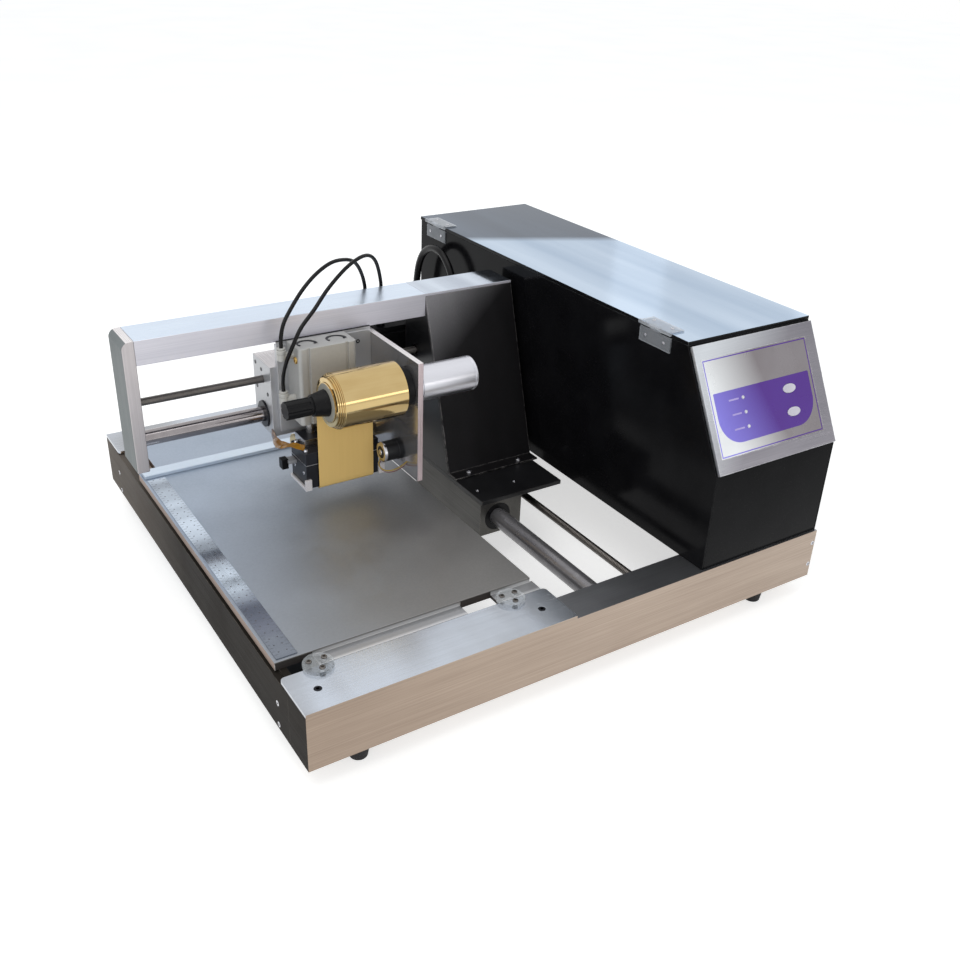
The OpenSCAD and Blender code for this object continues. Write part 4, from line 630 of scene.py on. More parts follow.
feedWires = {"diameter": 1.2, "shift": (1.0, 1.2, -1.6), "sameEndFrom": 230, "shade": 0.8,
             "route": [(208.5, 272, 129), (205, 269, 125), (205.5, 264, 121.5), (210, 259, 120), (218, 256.5, 121),
                       (226, 256, 124), (231.2, 256, 127)],
             "colours": {"Yellow": (206, 170, 60), "White": (206, 200, 188), "Red": (150, 52, 46)}}
for k, (label, colour) in enumerate(feedWires["colours"].items()):
    dx, dy, dz = [k * step for step in feedWires["shift"]]
    path = smoothPath([(x + dx * (x < feedWires["sameEndFrom"]), y + dy, z + dz)
                       for x, y, z in feedWires["route"]], 5)
    paintFinish("wire" + label, colour=colour, tint=[c * feedWires["shade"] for c in colour], roughness=(0.35, 0.5))
    wire = buildPiece("feedWire" + label, tubeInto, [(path, feedWires["diameter"] / 2, 8)], "wire" + label, "head",
                      slot="tube_black", sharp=60)
    declareCord(path)

# flat cable of the heater, which twists from upright to level on its way
flatCable = {"width": 9.2, "thick": 0.5, "crumple": 0.8, "folds": (9, 23), "upright": toTop,
             "level": (0.75, 0.66, 0.05), "turnOver": 1.5,
             "route": [(119.4, 344, 148.8), (118.6, 337, 147.2), (117.6, 330, 145.4), (117.4, 323, 144.8),
                       (118.4, 316, 146.2), (121.2, 309.5, 148.6), (126, 304.5, 149.4), (131.2, 301, 148.2),
                       (136, 298.5, 146.5)]}
paintFinish("amberFilm", colour=(168, 118, 26), tint=(118, 74, 14), roughness=(0.12, 0.24), grain=90.0, bump=0.3,
            coat=0.4)
acrossCable = (-1, -0.5, 0, 0.5, 1)
section = [(s, -1) for s in acrossCable] + [(s, 1) for s in reversed(acrossCable)]
path = smoothPath(flatCable["route"], 5)
bm = bmesh.new()
rings = []
for i, point in enumerate(path):
    share = i / (len(path) - 1)
    ahead = headingAt(path, i)
    flat = Vector(flatCable["upright"]).lerp(Vector(flatCable["level"]), min(1.0, share * flatCable["turnOver"]))
    flat = (flat - ahead * flat.dot(ahead)).normalized()
    thick = ahead.cross(flat)
    ring = []
    for s, t in section:
        wave = flatCable["folds"][0] * s + flatCable["folds"][1] * share
        fold = flatCable["crumple"] * math.sin(wave) * math.sin(math.pi * share)
        reach = flat * s * flatCable["width"] / 2000
        ring.append(bm.verts.new(point + reach + thick * (t * flatCable["thick"] / 2 + fold) / 1000))
    rings.append(ring)
closeRings(bm, rings)
heaterRibbon = makePiece("heaterRibbon", bm, "amberFilm", None, "tube_black", sharp=60)
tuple(path[4])
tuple(path[-4])
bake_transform(heaterRibbon)
declareCord(path)
print("cords laid")


# floor, light and background
def seenRays(tree):
    rays = addNode(tree, "LightPath", {}).outputs
    seen = maths(tree, "MAXIMUM", rays["Is Camera Ray"], rays["Is Glossy Ray"])
    return maths(tree, "MAXIMUM", seen, rays["Is Transmission Ray"])


floorLook = {"size": 16.0, "drop": 0.0003, "colour": (228, 228, 226), "tint": (222, 222, 221), "lift": 0.6,
             "roughness": 0.9}
pureWhite = (1, 1, 1, 1)
half = floorLook["size"] / 2
mesh = bpy.data.meshes.new("floor")
corners = [(x, y, -floorLook["drop"]) for x, y in ((-half, -half), (half, -half), (half, half), (-half, half))]
mesh.from_pydata(corners, [], [range(4)])
floor = bpy.data.objects.new("floor", mesh)
scene.collection.objects.link(floor)
tree, shader = newFinish("paleFloor")
cloud = rangeOf(tree, noiseOf(tree, spotOn(tree), 3.0), 0.4, 0.6)
feed(tree, shader, {"Base Color": blendColour(tree, cloud, floorLook["colour"], floorLook["tint"]),
                    "Roughness": floorLook["roughness"], "Specular IOR Level": 0.0, "Emission Color": pureWhite,
                    "Emission Strength": maths(tree, "MULTIPLY", seenRays(tree), floorLook["lift"])})
mesh.materials.append(finishes["paleFloor"])

worldLook = {"sky": (0.94, 0.97, 1.0, 1.0), "ambient": 0.55}
scene.world = bpy.data.worlds.new("studio")
scene.world.use_nodes = True
tree = scene.world.node_tree
tree.nodes.clear()
ambient = addNode(tree, "Background", {"Color": worldLook["sky"], "Strength": worldLook["ambient"]})
white = addNode(tree, "Background", {"Color": pureWhite, "Strength": 1.0})
pick = addNode(tree, "MixShader", {0: seenRays(tree), 1: ambient.outputs[0], 2: white.outputs[0]})
addNode(tree, "OutputWorld", {"Surface": pick.outputs[0]})

lamps = {
    "lowStrip": dict(place=(1.0, -1.75, 0.42), aim=(-0.1, -0.03, 0.21), size=(1.3, 0.26), watts=1.8,
        colour=(1.0, 0.97, 0.92), mirrored=True),
    "topPanel": dict(place=(-0.5, -0.1, 1.9), aim=(0, 0, 0.1), size=(1.6, 1.6), watts=9.5,
        colour=(1, 0.99, 0.97), mirrored=True),
    "rearWindow": dict(place=(0.5, 2.3, 1.15), aim=(0, 0.1, 0.2), size=(1.5, 0.9), watts=6.0,
        colour=(0.9, 0.96, 1.0), mirrored=False),
    "rearStripA": dict(place=(1.62, 1.5, 0.85), aim=(0.2, 0, 0.29), size=(0.16, 1.1), watts=0.12,
        colour=(0.95, 0.98, 1.0), mirrored=True),
    "rearStripB": dict(place=(2.05, 1.15, 0.85), aim=(0.2, -0.1, 0.29), size=(0.1, 1.1), watts=0.08,
        colour=(0.95, 0.98, 1.0), mirrored=True),
    "frontFill": dict(place=(-1.5, -2.0, 1.1), aim=(0, 0, 0.15), size=(1.4, 1.0), watts=12.0,
        colour=(1.0, 0.97, 0.94), mirrored=False),
}
for name, lamp in lamps.items():
    data = bpy.data.lights.new(name, "AREA")
    data.shape = "RECTANGLE"
    data.size, data.size_y = lamp["size"]
    data.energy, data.color = lamp["watts"], lamp["colour"]
    light = bpy.data.objects.new(name, data)
    light.location = lamp["place"]
    light.visible_glossy = lamp["mirrored"]
    light.rotation_euler = (Vector(lamp["aim"]) - Vector(lamp["place"])).to_track_quat("-Z", "Y").to_euler()
    scene.collection.objects.link(light)
print("stage lit by", len(lamps), "lamps")

# CAD solids that keep their shape, by node: edge softening in mm
plainNodes = {
    "front_bar": 0.5, "side_plates": 0.4, "bed_rails": 0.4, "cover_plates": 0.35, "rubber_feet": 1.0,
    "bed_plate": 0.6, "steel_rule": 0.15, "back_fence": 0.5, "clamp_discs": 0.7, "y_guide_shaft": 0.8,
    "carriage_block": 0.6, "y_bushings": 0.3, "gantry_base_plate": 0.5, "pillar_plates": 0.3, "pillar_cover": 0.5,
    "pillar_top_plate": 0.4, "gantry_beam": 0.6, "gantry_end_plate": 0.9, "x_guide_shaft": 0.8, "head_block": 0.6,
    "x_bushings": 0.3, "head_back_plate": 0.4, "head_side_plate": 0.5, "air_cylinder": 0.4, "air_valve": 0.4,
    "spool_hub": 0.4, "take_up_spool": 0.3, "cylinder_rods": 0.3, "print_head": 0.6, "housing_side_panels": 0.5,
    "housing_front_panel": 0.5, "housing_rear_panel": 0.4, "housing_floor": 0.2, "control_panel": 1.0,
    "hinge_base_leaves": 0.25, "hinge_lid_leaves": 0.25, "power_supply": 0.6, "power_inlet": 0.4,
    "switch_rocker": 0.5, "air_inlet": 0.3, "control_board": 0.2,
}
# most facets paint one face of a part lighter or darker than the rest, as painted highlight, reflection and shade
facets = {
    "front_bar": [("barTop", toTop), ("dark_side", toLeft)],
    "bed_plate": [("bedEdge", toLeft), ("bedFront", toFront), ("lipTop", toTop, 0.0815)],
    "back_fence": [("fenceBright", toTop), ("fenceBright", toFront)],
    "cover_plates": [("brushed_bar", toFront)],
    "gantry_end_plate": [("plateEdge", (0, -0.7, 0.7)), ("plateEdge", (0, 0.7, 0.7)), ("plateEdge", toTop),
                         ("endFront", toFront)],
    "head_block": [("plateEdge", toTop)],
    "air_valve": [("valveTop", toTop)],
    "cylinder_rods": [("head_black", toTop)],
    "gantry_beam": [("beamTop", toTop)],
    "head_side_plate": [("plateEdge", toTop), ("plateFront", toFront)],
    "pillar_top_plate": [("topPolish", toTop)],
}
ownFinish = {"head_side_plate": "sidePolish", "y_guide_shaft": "darkShaft", "y_bushings": "hub_black",
             "air_valve": "hub_black", "hinge_base_leaves": "hinge_smoke", "hinge_lid_leaves": "hinge_smoke"}
for node, bevel in plainNodes.items():
    dress(node, bevel, ownFinish.get(node), facets=facets.get(node, ()))

# rear bar and its cable gland
glandAxis, glandReach = at(404, 547, 0).xy, 0.012
dress("rear_bar", 0.5, "brushed_bar", pick=lambda p: (p.xy - glandAxis).length > glandReach,
      facets=facets["front_bar"])
dress("rear_bar", 0.6, "inlet_black", "cableGland", lambda p: (p.xy - glandAxis).length < glandReach)

# lid: polished top with a painted reflection that darkens its back, black edges and underside
paintFinish("lidEdge", colour=(18, 18, 20), tint=(12, 12, 14), roughness=(0.14, 0.26), specular=0.1, wear=1.0,
            bare=(150, 156, 160), wearRadius=0.0009)
dress("lid", 0.4, "lidEdge", facets=[("lid_mirror", toTop)])
print("solids dressed:", len(plainNodes) + 3)

# plain boxes, by finish, body, other settings and corners: the plate between front bar and bed, dark sheets of
# painted shade on the walls of the window in the bed's lip and on the strip beside it, the head's guards, heater
# plug, seams and raised back plate, and what stands on the control board
boxPieces = {
    "gapPlate": ("plate_black", "base", dict(bevel=0.3), [((6.2, 40, 58), (62, 92, 62))]),
    # painted shade: dark sheets on the window walls and at the bed's front left
    "windowWalls": ("bedCut", "base", dict(slot="plate_black"), [
        ((181.4, 65.5, 76.3), (213.6, 65.9, 83.3)), ((213.5, 52.6, 76.3), (213.9, 65.4, 78.8)),
        ((2.6, 65.6, 76.6), (35.8, 66.2, 83.0))]),
    # the head's guards take the painted highlight finish, lighter than their own silver
    "headGuards": ("plateEdge", "press", dict(slot="guard_silver", stands=("head_guards",), bevel=0.3), [
        ((128.5, 284.8, 105.3), (131.0, 322.0, 108.6)), ((213.0, 284.8, 105.3), (215.5, 322.0, 108.6)),
        ((128.5, 282.0, 105.3), (135.5, 285.0, 117.3)), ((212.0, 282.0, 105.3), (219.0, 285.0, 117.3))]),
    "plugBracket": ("head_alu", "press", dict(bevel=0.3), [((122.5, 309, 126), (131.2, 320, 129.5))]),
    "heaterPlug": ("hub_black", "press", dict(bevel=0.5), [((116.5, 312.5, 119.5), (123.5, 321.5, 130.5))]),
    "plateRise": ("head_alu", "head", {}, [((126.4, 335, 246.9), (230.6, 337, 250.0))]),
    "plateSeam": ("hub_black", "head", {}, [((126.4, 335, 249.9), (230.6, 337, 250.6))]),
    "headSeam": ("guard_silver", "press", {}, [((130.8, 284.8, 132.4), (213.2, 322.2, 133.0))]),
    "boardChips": ("inlet_black", "base", dict(bevel=0.3), [
        ((470, 150, 87.4), (492, 164, 89.8)), ((505, 180, 87.4), (521, 196, 89.8)),
        ((455, 200, 87.4), (467, 220, 89.8)), ((535, 150, 87.4), (545, 168, 89.8))]),
    "boardPlugs": ("fitting_grey", "base", dict(bevel=0.4), [
        ((445, 100, 87.4), (463, 108, 95.6)), ((470, 100, 87.4), (496, 108, 95.6)),
        ((540, 120, 87.4), (548, 144, 95.6))]),
}
for name, (finish, body, more, rows) in boxPieces.items():
    buildPiece(name, boxInto, rows, finish, body, **more)


# screws; a head is its radius, height, socket, depth of the socket and length below the surface
def spread(across, along, up):
    return [(x, y, z) for x in across for y in along for z in up]


screwHeads = {
    "side": (2.6, 0.4, 1.3, 1.4, 2.4), "end": (2.4, 0.4, 1.3, 1.2, 2.0), "cover": (3.4, 0.3, 1.8, 1.8, 2.4),
    "disc": (2.6, 1.2, 1.4, 0.9, 0.0), "foot": (3.6, 2.6, 1.7, 1.5, 0.2), "plate": (2.0, 0.6, 1.0, 0.5, 0.2),
    "beamEnd": (2.3, 0.5, 1.2, 0.5, 0.2), "port": (3.6, 1.4, 1.6, 1.0, 0.3), "head": (2.2, 0.5, 1.2, 0.45, 0.2),
    "terminal": (2.2, 2.2, 1.1, 1.0, 0.2), "clamp": (1.9, 0.6, 1.0, 0.5, 0.1), "hinge": (1.7, 0.8, 0.8, 0.6, 0.2),
    "rear": (2.8, 1.0, 1.3, 0.8, 0.2),
}
discPlaces = [(x + dx, y, 82.5) for x in (34.5, 226) for dx, y in ((6.9282, 55), (-6.9282, 55), (0, 43))]
hingeRows = (94, 120, 506, 532)
screwSets = {
    "sideScrews": ("brightMetal", "base", dict(slot="guard_silver", stands=("frame_screws",)), [
        ("side", toLeft, spread([0.1], (59, 523), (25, 48))), ("end", toFront, spread([577], [0.4], (35.1, 61))),
        ("end", toBack, spread([577], [564.6], (35.1, 61)))]),
    "coverScrews": ("black_screw", "base", dict(stands=("frame_screws",)), [
        ("cover", toTop, spread((22, 243), (25, 540), [78.9]))]),
    "discScrews": ("screw_steel", "base", dict(slot="black_screw", stands=("frame_screws",)), [
        ("disc", toTop, discPlaces)]),
    "gantryScrews": ("brightMetal", "gantry", dict(slot="guard_silver"), [
        ("foot", toTop, [(320.5, 274.5, 82), (386, 273, 82)]),
        ("plate", toTop, [(309, 238, 80), (356, 236.5, 80), (309, 374, 80), (395, 374, 80)]),
        ("beamEnd", toLeft, spread([-21.4], (351, 373), (258, 155)))]),
    "portScrew": ("brass", "head", {}, [("port", toLeft, [(137, 312, 237)])]),
    "headScrews": ("black_screw", "head", {}, [
        ("head", toLeft, [(120.2, 364, 212), (120.2, 350, 189), (120.2, 378, 189), (120.2, 379, 215)]),
        ("head", toRight, spread([236.8], (243, 341), (124, 236))),
        ("head", toFront, spread([216], [334.2], (236, 165)))]),
    "printHeadScrews": ("brightMetal", "press", dict(slot="guard_silver"), [
        ("terminal", toTop, spread([134.2], (291, 316), [146])),
        ("clamp", toLeft, spread([131.1], (292, 314), [122]))]),
    "hingeScrewsBase": ("brightMetal", "base", dict(slot="black_screw"), [
        ("hinge", toLeft, spread([417.5], hingeRows, [280.5]))]),
    "hingeScrewsLid": ("brightMetal", "lid_cover", dict(slot="black_screw"), [
        ("hinge", toTop, spread([426.5], hingeRows, [293.5]))]),
    "rearScrews": ("brightMetal", "base", dict(slot="guard_silver"), [
        ("rear", toBack, spread((430, 569), [558], (90, 183, 276)))]),
}
for name, (finish, body, more, rows) in screwSets.items():
    buildPiece(name, screwsInto, rows, finish, body, **more)
print("boxes and screws made:", len(boxPieces), "and", len(screwSets))


def pinOf(radius, length):
    return [(0, 0), (0, radius), (length, radius), (length, 0)]


# graduations of the rule: lines along both edges, every second one longer and with two dots
ruleMarks = {"from": 74.0, "to": 416.0, "step": 5.0, "edges": (5.6, 23.4), "long": 3.6, "short": 2.2, "line": 0.25,
             "dot": 0.7, "dotRows": (10.6, 17.9), "dotShift": 3.0, "low": 84.9, "high": 85.06}
paintFinish("ruleInk", colour=(96, 98, 104), tint=(78, 80, 86), roughness=(0.4, 0.6))
(left, right), low, high = ruleMarks["edges"], ruleMarks["low"], ruleMarks["high"]
bm = bmesh.new()
for k in range(int((ruleMarks["to"] - ruleMarks["from"]) / ruleMarks["step"]) + 1):
    y = ruleMarks["from"] + k * ruleMarks["step"]
    tens = k % 2 == 0
    reach = ruleMarks["long" if tens else "short"]
    for inner, outer in ((left, left + reach), (right - reach, right)):
        boxInto(bm, (inner, y - ruleMarks["line"] / 2, low), (outer, y + ruleMarks["line"] / 2, high))
    for x in ruleMarks["dotRows"] if tens else ():
        latheInto(bm, at(x, y + ruleMarks["dotShift"], low), toTop, pinOf(ruleMarks["dot"], high - low), 14)
makePiece("ruleMarks", bm, "ruleInk", "base", "black_screw")

# lead screws: four-start threads with a slit coupling
leadScrews = {"root": 3.35, "crest": 4.0, "pitch": 2.0, "starts": 4, "steps": 16, "perPitch": 4, "flank": 3.2,
              "crestShare": 1.6, "places": {
                  "x_screw": dict(base=(-18, 362, 202), axis=toRight, length=324, coupling=(304, 362, 202)),
                  "y_screw": dict(base=(375, 28, 55), axis=toBack, length=448, coupling=(375, 474, 55))}}
coupling = [(0, 0), (0, 8.2), (0.8, 9)]
for slit in (5.12, 7.04, 8.96, 10.88):
    coupling += [(slit - 0.4, 9), (slit - 0.4, 6.8), (slit + 0.4, 6.8), (slit + 0.4, 9)]
coupling += [(15.2, 9), (16, 8.2), (16, 2.5), (25.6, 2.5), (25.6, 0)]


def threadInto(bm, base, axis, length):
    along, side, up = turnedFrame(axis)
    lead = leadScrews["pitch"] * leadScrews["starts"]
    depth = leadScrews["crest"] - leadScrews["root"]
    stations = int(length / leadScrews["pitch"] * leadScrews["perPitch"])
    rings = []
    for i in range(stations + 1):
        reach = length * i / stations

        def radius(turn, reach=reach):
            wave = ((reach - lead * turn / fullTurn) / leadScrews["pitch"]) % 1
            rise = leadScrews["crestShare"] - abs(wave - 0.5) * leadScrews["flank"]
            return leadScrews["root"] + depth * min(1, rise)

        rings.append(ringOf(bm, base + along * reach / 1000, side, up, radius, leadScrews["steps"]))
    closeRings(bm, rings)


for node, place in leadScrews["places"].items():
    body = nodes[node]["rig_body"]
    thread = (at(*place["base"]), place["axis"], place["length"])
    buildPiece(camel(node), threadInto, [thread], "screw_steel", body, stands=(node,), sharp=60)
    sleeve = (at(*place["coupling"]), place["axis"], coupling, 36)
    buildPiece(camel(node) + "Coupling", latheInto, [sleeve], "guard_silver", body, slot="screw_steel",
               stands=(node,))

# stepper motors: black stack between bright end caps
motorLook = {"cap": 7.0, "corner": 4.0,
             "layers": (("Front", "head_alu", 0), ("Stack", "motor_black", 0.5), ("Rear", "head_alu", 0)),
             "places": {"x_motor": ((344.5, 184.5), (379.5, 219.5), 322, 360, lambda u, v, n: at(n, u, v)),
                        "y_motor": ((357.5, 37.5), (392.5, 72.5), 491, 529, lambda u, v, n: at(u, n, v))}}
for node, (low, high, front, rear, place) in motorLook["places"].items():
    levels = (front, front + motorLook["cap"], rear - motorLook["cap"], rear)
    for (label, finish, inset), first, last in zip(motorLook["layers"], levels, levels[1:]):
        outline = roundedBox([c + inset for c in low], [c - inset for c in high], [motorLook["corner"]] * 4, 4)
        buildPiece(camel(node) + label, sheetInto, [(outline, place, first, last)], finish, nodes[node]["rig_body"],
                   slot="motor_black", stands=(node,), bevel=0.4)
print("drives done")

# retaining rings in the air cylinder's bores, drawn as dark arcs over the back half only, which also paint the shade
# on the bores' far walls
ringLook = {"centres": ((152.5, 319), (184.5, 319)), "radii": (11.0, 8.6), "gap": 176, "steps": 28, "low": 248.9,
            "high": 249.4, "lug": 1.5, "lugHeight": 0.6}
span = 360 - ringLook["gap"]
turns = [math.radians(270 + ringLook["gap"] / 2 + span * k / ringLook["steps"]) for k in range(ringLook["steps"] + 1)]
bm = bmesh.new()
for x, y in ringLook["centres"]:
    outer, inner = [[(x + radius * math.cos(turn), y + radius * math.sin(turn)) for turn in turns]
                    for radius in ringLook["radii"]]
    sheetInto(bm, outer + inner[::-1], at, ringLook["low"], ringLook["high"])
    for u, v in (inner[0], inner[-1]):
        latheInto(bm, at(u, v, ringLook["low"]), toTop, pinOf(ringLook["lug"], ringLook["lugHeight"]), 12)
makePiece("retainingRings", bm, "black_screw", "head")

# wound foil with stepped edge turns on a grey core
foilLook = {"start": (141.5, 255, 213), "turns": ((0.5, 1.5, 20.2), (1.5, 3.4, 24.6), (3.4, 5.2, 25.8),
                                                  (5.2, 6.8, 26.8), (6.8, 8.2, 27.5))}
woundFoil = [(0.5, 19.05)]
for first, last, radius in foilLook["turns"]:
    woundFoil += [(first, radius - 0.2), (first + 0.2, radius), (last - 0.5, radius), (last - 0.2, radius - 0.35)]
woundFoil += [(8.2, 27.7), (8.5, 28), (75.9, 28), (76.3, 27.6), (76.3, 19.05)]
coreTube = [(0.1, 13.1), (0.1, 18.4), (0.7, 19), (75.8, 19), (76.4, 18.4), (76.4, 13.1)]
paintFinish("coreGrey", colour=(160, 158, 148), tint=(132, 131, 122), roughness=(0.5, 0.7), grain=300.0, bump=0.2)

# turned pieces: elbow fittings with collets, the ringed spool motor with its dark rear cap, the feed motor with its
# chrome front ring, the foil on its core and dark discs of painted shade for the vent holes of the power supply
elbow = [(0, 0), (0, 3.4), (1.2, 4.6), (7.6, 4.6), (7.6, 4.1), (8.4, 4.1), (8.4, 4.9), (11.4, 4.9), (11.8, 4.4),
         (11.8, 0)]
collet = [(0, 2.1), (0, 3.4), (1.2, 3.4), (1.2, 4.2), (2.0, 4.2), (2.2, 3.9), (2.2, 2.1)]
turnedPieces = {
    "airFittings": ("fitting_grey", "head", dict(stands=("air_fittings",), bevel=0.2), [
        (at(125, 319, 236), toTop, elbow, 28), (at(128, 319, 240.8), toRight, pinOf(3.8, 9), 24),
        (at(125, 319, 190), toTop, elbow, 28), (at(128, 319, 194.8), toRight, pinOf(3.8, 9), 24)]),
    "airCollets": ("fitting_grey", "head", dict(stands=("air_fittings",)), [
        (at(125, 319, 247.8), toTop, collet, 28, True), (at(125, 319, 201.8), toTop, collet, 28, True)]),
    "spoolMotor": ("motor_silver", "head", dict(stands=("spool_motor",), sharp=28), [
        (at(237, 255, 213), toRight, [
            (0, 0), (0, 17.6), (3.2, 17.6), (3.2, 17.1), (3.8, 17.1), (3.8, 18), (64, 18), (64.6, 17.5), (65, 17.5),
            (65.4, 17.9), (67.2, 17.9), (68, 17.1), (68, 13), (66.8, 12.4), (66.8, 0)], 64)]),
    "spoolMotorCap": ("motor_black", "head", dict(stands=("spool_motor",)), [
        (at(303.7, 255, 213), toRight, [
            (0, 0), (0, 12), (0.8, 12), (1.1, 11.4), (1.1, 3), (0.9, 2.4), (0.9, 0)], 40)]),
    "feedMotor": ("motor_black", "head", dict(stands=("feed_motor",), sharp=28), [
        (at(209, 270, 137), toRight, [(0, 0), (0, 10), (0.8, 10.6), (16, 10.6), (16, 11), (22, 11), (22, 0)], 44)]),
    "feedMotorRing": ("brightMetal", "head", dict(slot="guard_silver", stands=("feed_motor",)), [
        (at(208.2, 270, 137), toRight, [
            (0, 6.6), (0, 9.8), (0.9, 10.9), (2.6, 10.9), (2.6, 10.4), (1.2, 9.2), (1.2, 6.6)], 44, True),
        (at(207, 270, 137), toRight, [(0, 0), (0, 2.8), (0.5, 3.3), (2.2, 3.3), (2.2, 0)], 24)]),
    "foilRoll": ("foil_gold", "foil_spool", dict(stands=("foil_roll",), sharp=30), [
        (at(*foilLook["start"]), toRight, woundFoil, 96, True)]),
    "foilCore": ("coreGrey", "foil_spool", dict(slot="fitting_grey", stands=("foil_roll",)), [
        (at(*foilLook["start"]), toRight, coreTube, 72, True)]),
    # painted shade: dark discs stand for the shade inside the vent holes
    "supplyVents": ("darkGap", "base", dict(slot="black_screw"), [
        (at(*place), toTop, pinOf(2.2, 0.36), 12)
        for place in spread(range(456, 544, 8), range(352, 452, 8), [127.7])]),
}
for name, (finish, body, more, rows) in turnedPieces.items():
    buildPiece(name, latheInto, rows, finish, body, **more)
print("turned pieces made:", len(turnedPieces))

# foil web: one thin sheet from the roll, under the head and up to the take-up spool
foilWebLook = {"thick": 0.12, "from": 144.0, "to": 206.0, "columns": 9, "ripple": 0.05, "rippleFrom": 112,
               "rippleOver": 100, "waves": (1.7, 0.09), "bendFrom": (184, 283, 131), "bendTo": (184, 283, 106),
               "line": [(283.25, 213), (283.25, 196), (283.25, 178), (283.25, 160), (283.25, 145), (283.25, 131),
                        (283.25, 124), (283.25, 118), (283.25, 112), (283.3, 107), (284.2, 105), (286, 104.5),
                        (294, 104.5), (303, 104.5), (312, 104.5), (320.5, 104.5), (322.6, 105.6), (323.8, 109),
                        (325, 116), (326.3, 124), (327.7, 131.8)]}
metalFinish("foilSheet", colour=(246, 208, 130), tint=(232, 194, 116), stretch=(500, 500, 14), patch=(16, 16, 9),
            roughness=(0.38, 0.46), lineMix=0.2, bump=0.03, metallic=0.1)
columns = range(foilWebLook["columns"])
step = (foilWebLook["to"] - foilWebLook["from"]) / (len(columns) - 1)
path = [Vector((0, y, z)) for y, z in foilWebLook["line"]]
bm = bmesh.new()
rings = []
for i, point in enumerate(path):
    ahead = headingAt(path, i)
    rise = (point.z - foilWebLook["rippleFrom"]) / foilWebLook["rippleOver"]
    ripple = foilWebLook["ripple"] * math.sin(math.pi * min(1, max(0, rise)))
    ring = []
    for side, row in ((-1, columns), (1, reversed(columns))):
        for k in row:
            wave = math.sin(k * foilWebLook["waves"][0] + point.z * foilWebLook["waves"][1])
            push = side * foilWebLook["thick"] / 2 + ripple * wave
            ring.append(bm.verts.new(at(foilWebLook["from"] + step * k, point.y - ahead.z * push,
                                        point.z + ahead.y * push)))
    rings.append(ring)
joinRings(bm, rings)
for ring in (rings[0], rings[-1]):
    for k in columns[:-1]:
        bm.faces.new((ring[k], ring[k + 1], ring[-2 - k], ring[-1 - k]))
foilWeb = makePiece("foilWeb", bm, "foilSheet", None, "foil_gold", ("foil_web",), sharp=70)
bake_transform(foilWeb)
print("foil web done")

# control panel face; across, up and out from the panel's lower left corner
slope = {"left": 419.0, "front": 3.0, "start": 177.0, "angle": math.atan2(111, 60)}
leanBack, leanUp = math.cos(slope["angle"]), math.sin(slope["angle"])


def onPanel(u, v, n):
    return at(slope["left"] + u, slope["front"] + v * leanBack - n * leanUp,
              slope["start"] + v * leanUp + n * leanBack)


# oval keys, a raised rim round a shallow dish, in openings of the violet field
keyLook = {"across": 111.0, "half": (8.6, 4.5), "gap": 0.25, "face": 4.0, "keys": {"Upper": 65.0, "Lower": 42.0},
           "rings": ((-1.8, 1.0), (0.55, 1.0), (0.85, 0.95), (1.0, 0.86), (0.94, 0.78), (0.86, 0.5), (0.84, 0.0))}
for label, up in keyLook["keys"].items():
    bm = bmesh.new()
    rings = []
    for height, share in keyLook["rings"]:
        spots = ovalOf(keyLook["across"], up, [half * share for half in keyLook["half"]], 40 if share else 1)
        rings.append([bm.verts.new(onPanel(u, v, keyLook["face"] + height)) for u, v in spots])
    closeRings(bm, rings)
    makePiece("key" + label, bm, "button_silver", label.lower() + "_key", stands=("button_" + label.lower(),),
              sharp=40)

film = dict(roughness=(0.22, 0.34), grain=900.0, smudgeScale=30.0, trace=0.12, specular=0.22, bump=0.05,
            bumpDistance=0.0001)
# both films grow darker towards the right, along the drift
paintFinish("filmSilver", colour=(250, 253, 255), far=(140, 134, 137), tint=(186, 184, 190), metallic=0.25,
            drift=((0.95, 0, 0.3), 0.22, 0.285), **film)
paintFinish("filmViolet", colour=(158, 152, 255), far=(92, 54, 150), tint=(108, 78, 190),
            drift=((0.93, 0, 0.37), 0.22, 0.29), **film)
dress("panel_overlay", 0.08, "filmSilver")

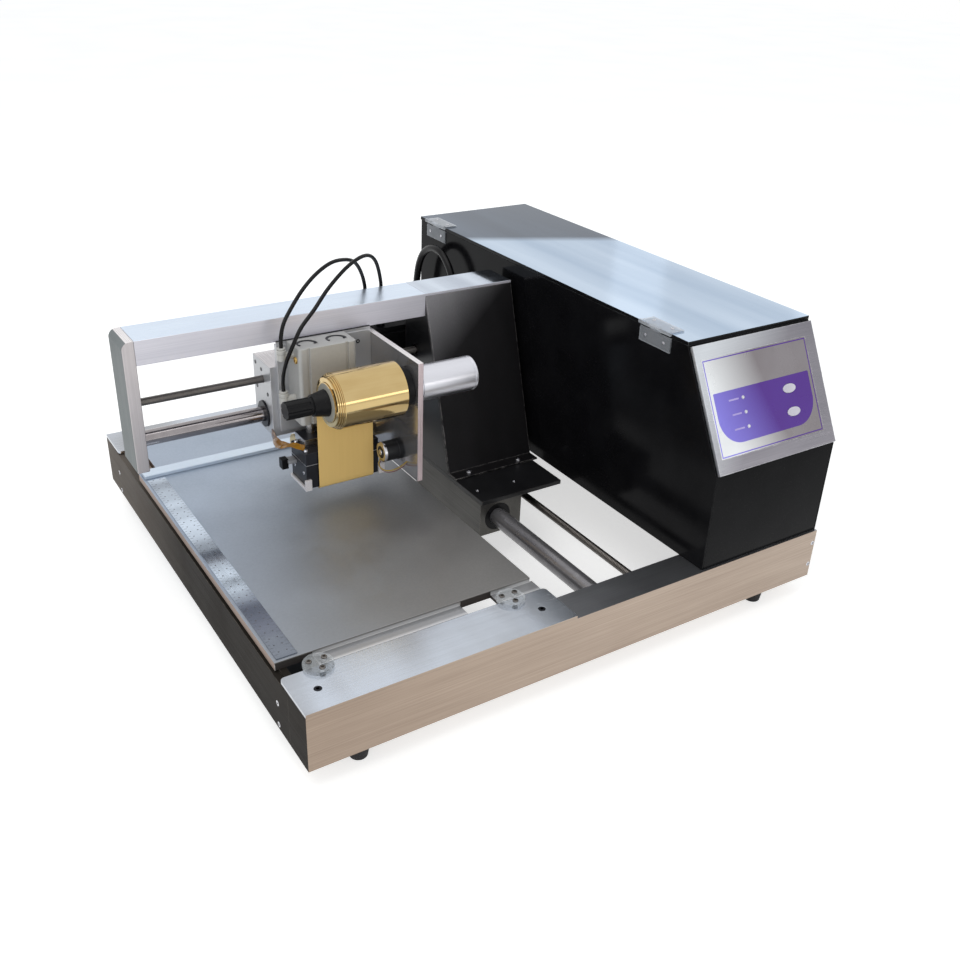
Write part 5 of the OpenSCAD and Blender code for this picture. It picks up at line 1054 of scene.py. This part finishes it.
fieldLook = {"low": 3.8, "high": 4.08, "corners": ((13.5, 27.0), (140.5, 77.5)), "radii": (26.0, 26.0, 1.2, 1.2)}
openings = [ovalOf(keyLook["across"], up, [half + keyLook["gap"] for half in keyLook["half"]])
            for up in keyLook["keys"].values()]
field = (roundedBox(*fieldLook["corners"], fieldLook["radii"], 14), onPanel, fieldLook["low"], fieldLook["high"],
         openings)
buildPiece("panelField", sheetInto, [field], "filmViolet", "base", slot="overlay_purple")

borderLook = {"low": 3.8, "high": 4.05, "corners": ((9.0, 17.0), (145.0, 109.5)), "wide": 1.1}
((left, low), (right, high)), wide = borderLook["corners"], borderLook["wide"]
bars = (((left, low), (right, low + wide)), ((left, high - wide), (right, high)),
        ((left, low + wide), (left + wide, high - wide)), ((right - wide, low + wide), (right, high - wide)))
border = [(roundedBox(*bar, (0, 0, 0, 0)), onPanel, borderLook["low"], borderLook["high"]) for bar in bars]
buildPiece("panelBorder", sheetInto, border, "filmViolet", "base", slot="overlay_purple")

lampLook = {"across": 49.5, "up": (68, 54, 40), "low": 3.9,
            "dome": [(0, 0), (0, 1.75), (0.3, 1.75), (0.55, 1.5), (0.72, 0.9), (0.78, 0)],
            "legendHigh": 4.12, "legendTo": 44.0, "legendReach": (13, 12, 13), "legendHalf": 0.8, "legendRadius": 0.7}
paintFinish("lampWhite", colour=(244, 244, 248), tint=(226, 226, 236), roughness=(0.12, 0.2), grain=200.0, coat=0.5)
paintFinish("legendPale", colour=(196, 184, 238), tint=(176, 160, 228), roughness=(0.3, 0.4))
domes = [(onPanel(lampLook["across"], v, lampLook["low"]), (0, -leanUp, leanBack), lampLook["dome"], 24)
         for v in lampLook["up"]]
buildPiece("statusLamps", latheInto, domes, "lampWhite", "base", slot="overlay_purple")
end, half, corners = lampLook["legendTo"], lampLook["legendHalf"], [lampLook["legendRadius"]] * 4
legends = [(roundedBox((end - reach, v - half), (end, v + half), corners, 4), onPanel, lampLook["low"],
            lampLook["legendHigh"]) for v, reach in zip(lampLook["up"], lampLook["legendReach"])]
buildPiece("lampLegends", sheetInto, legends, "legendPale", "base", slot="overlay_purple")
print("panel face done")
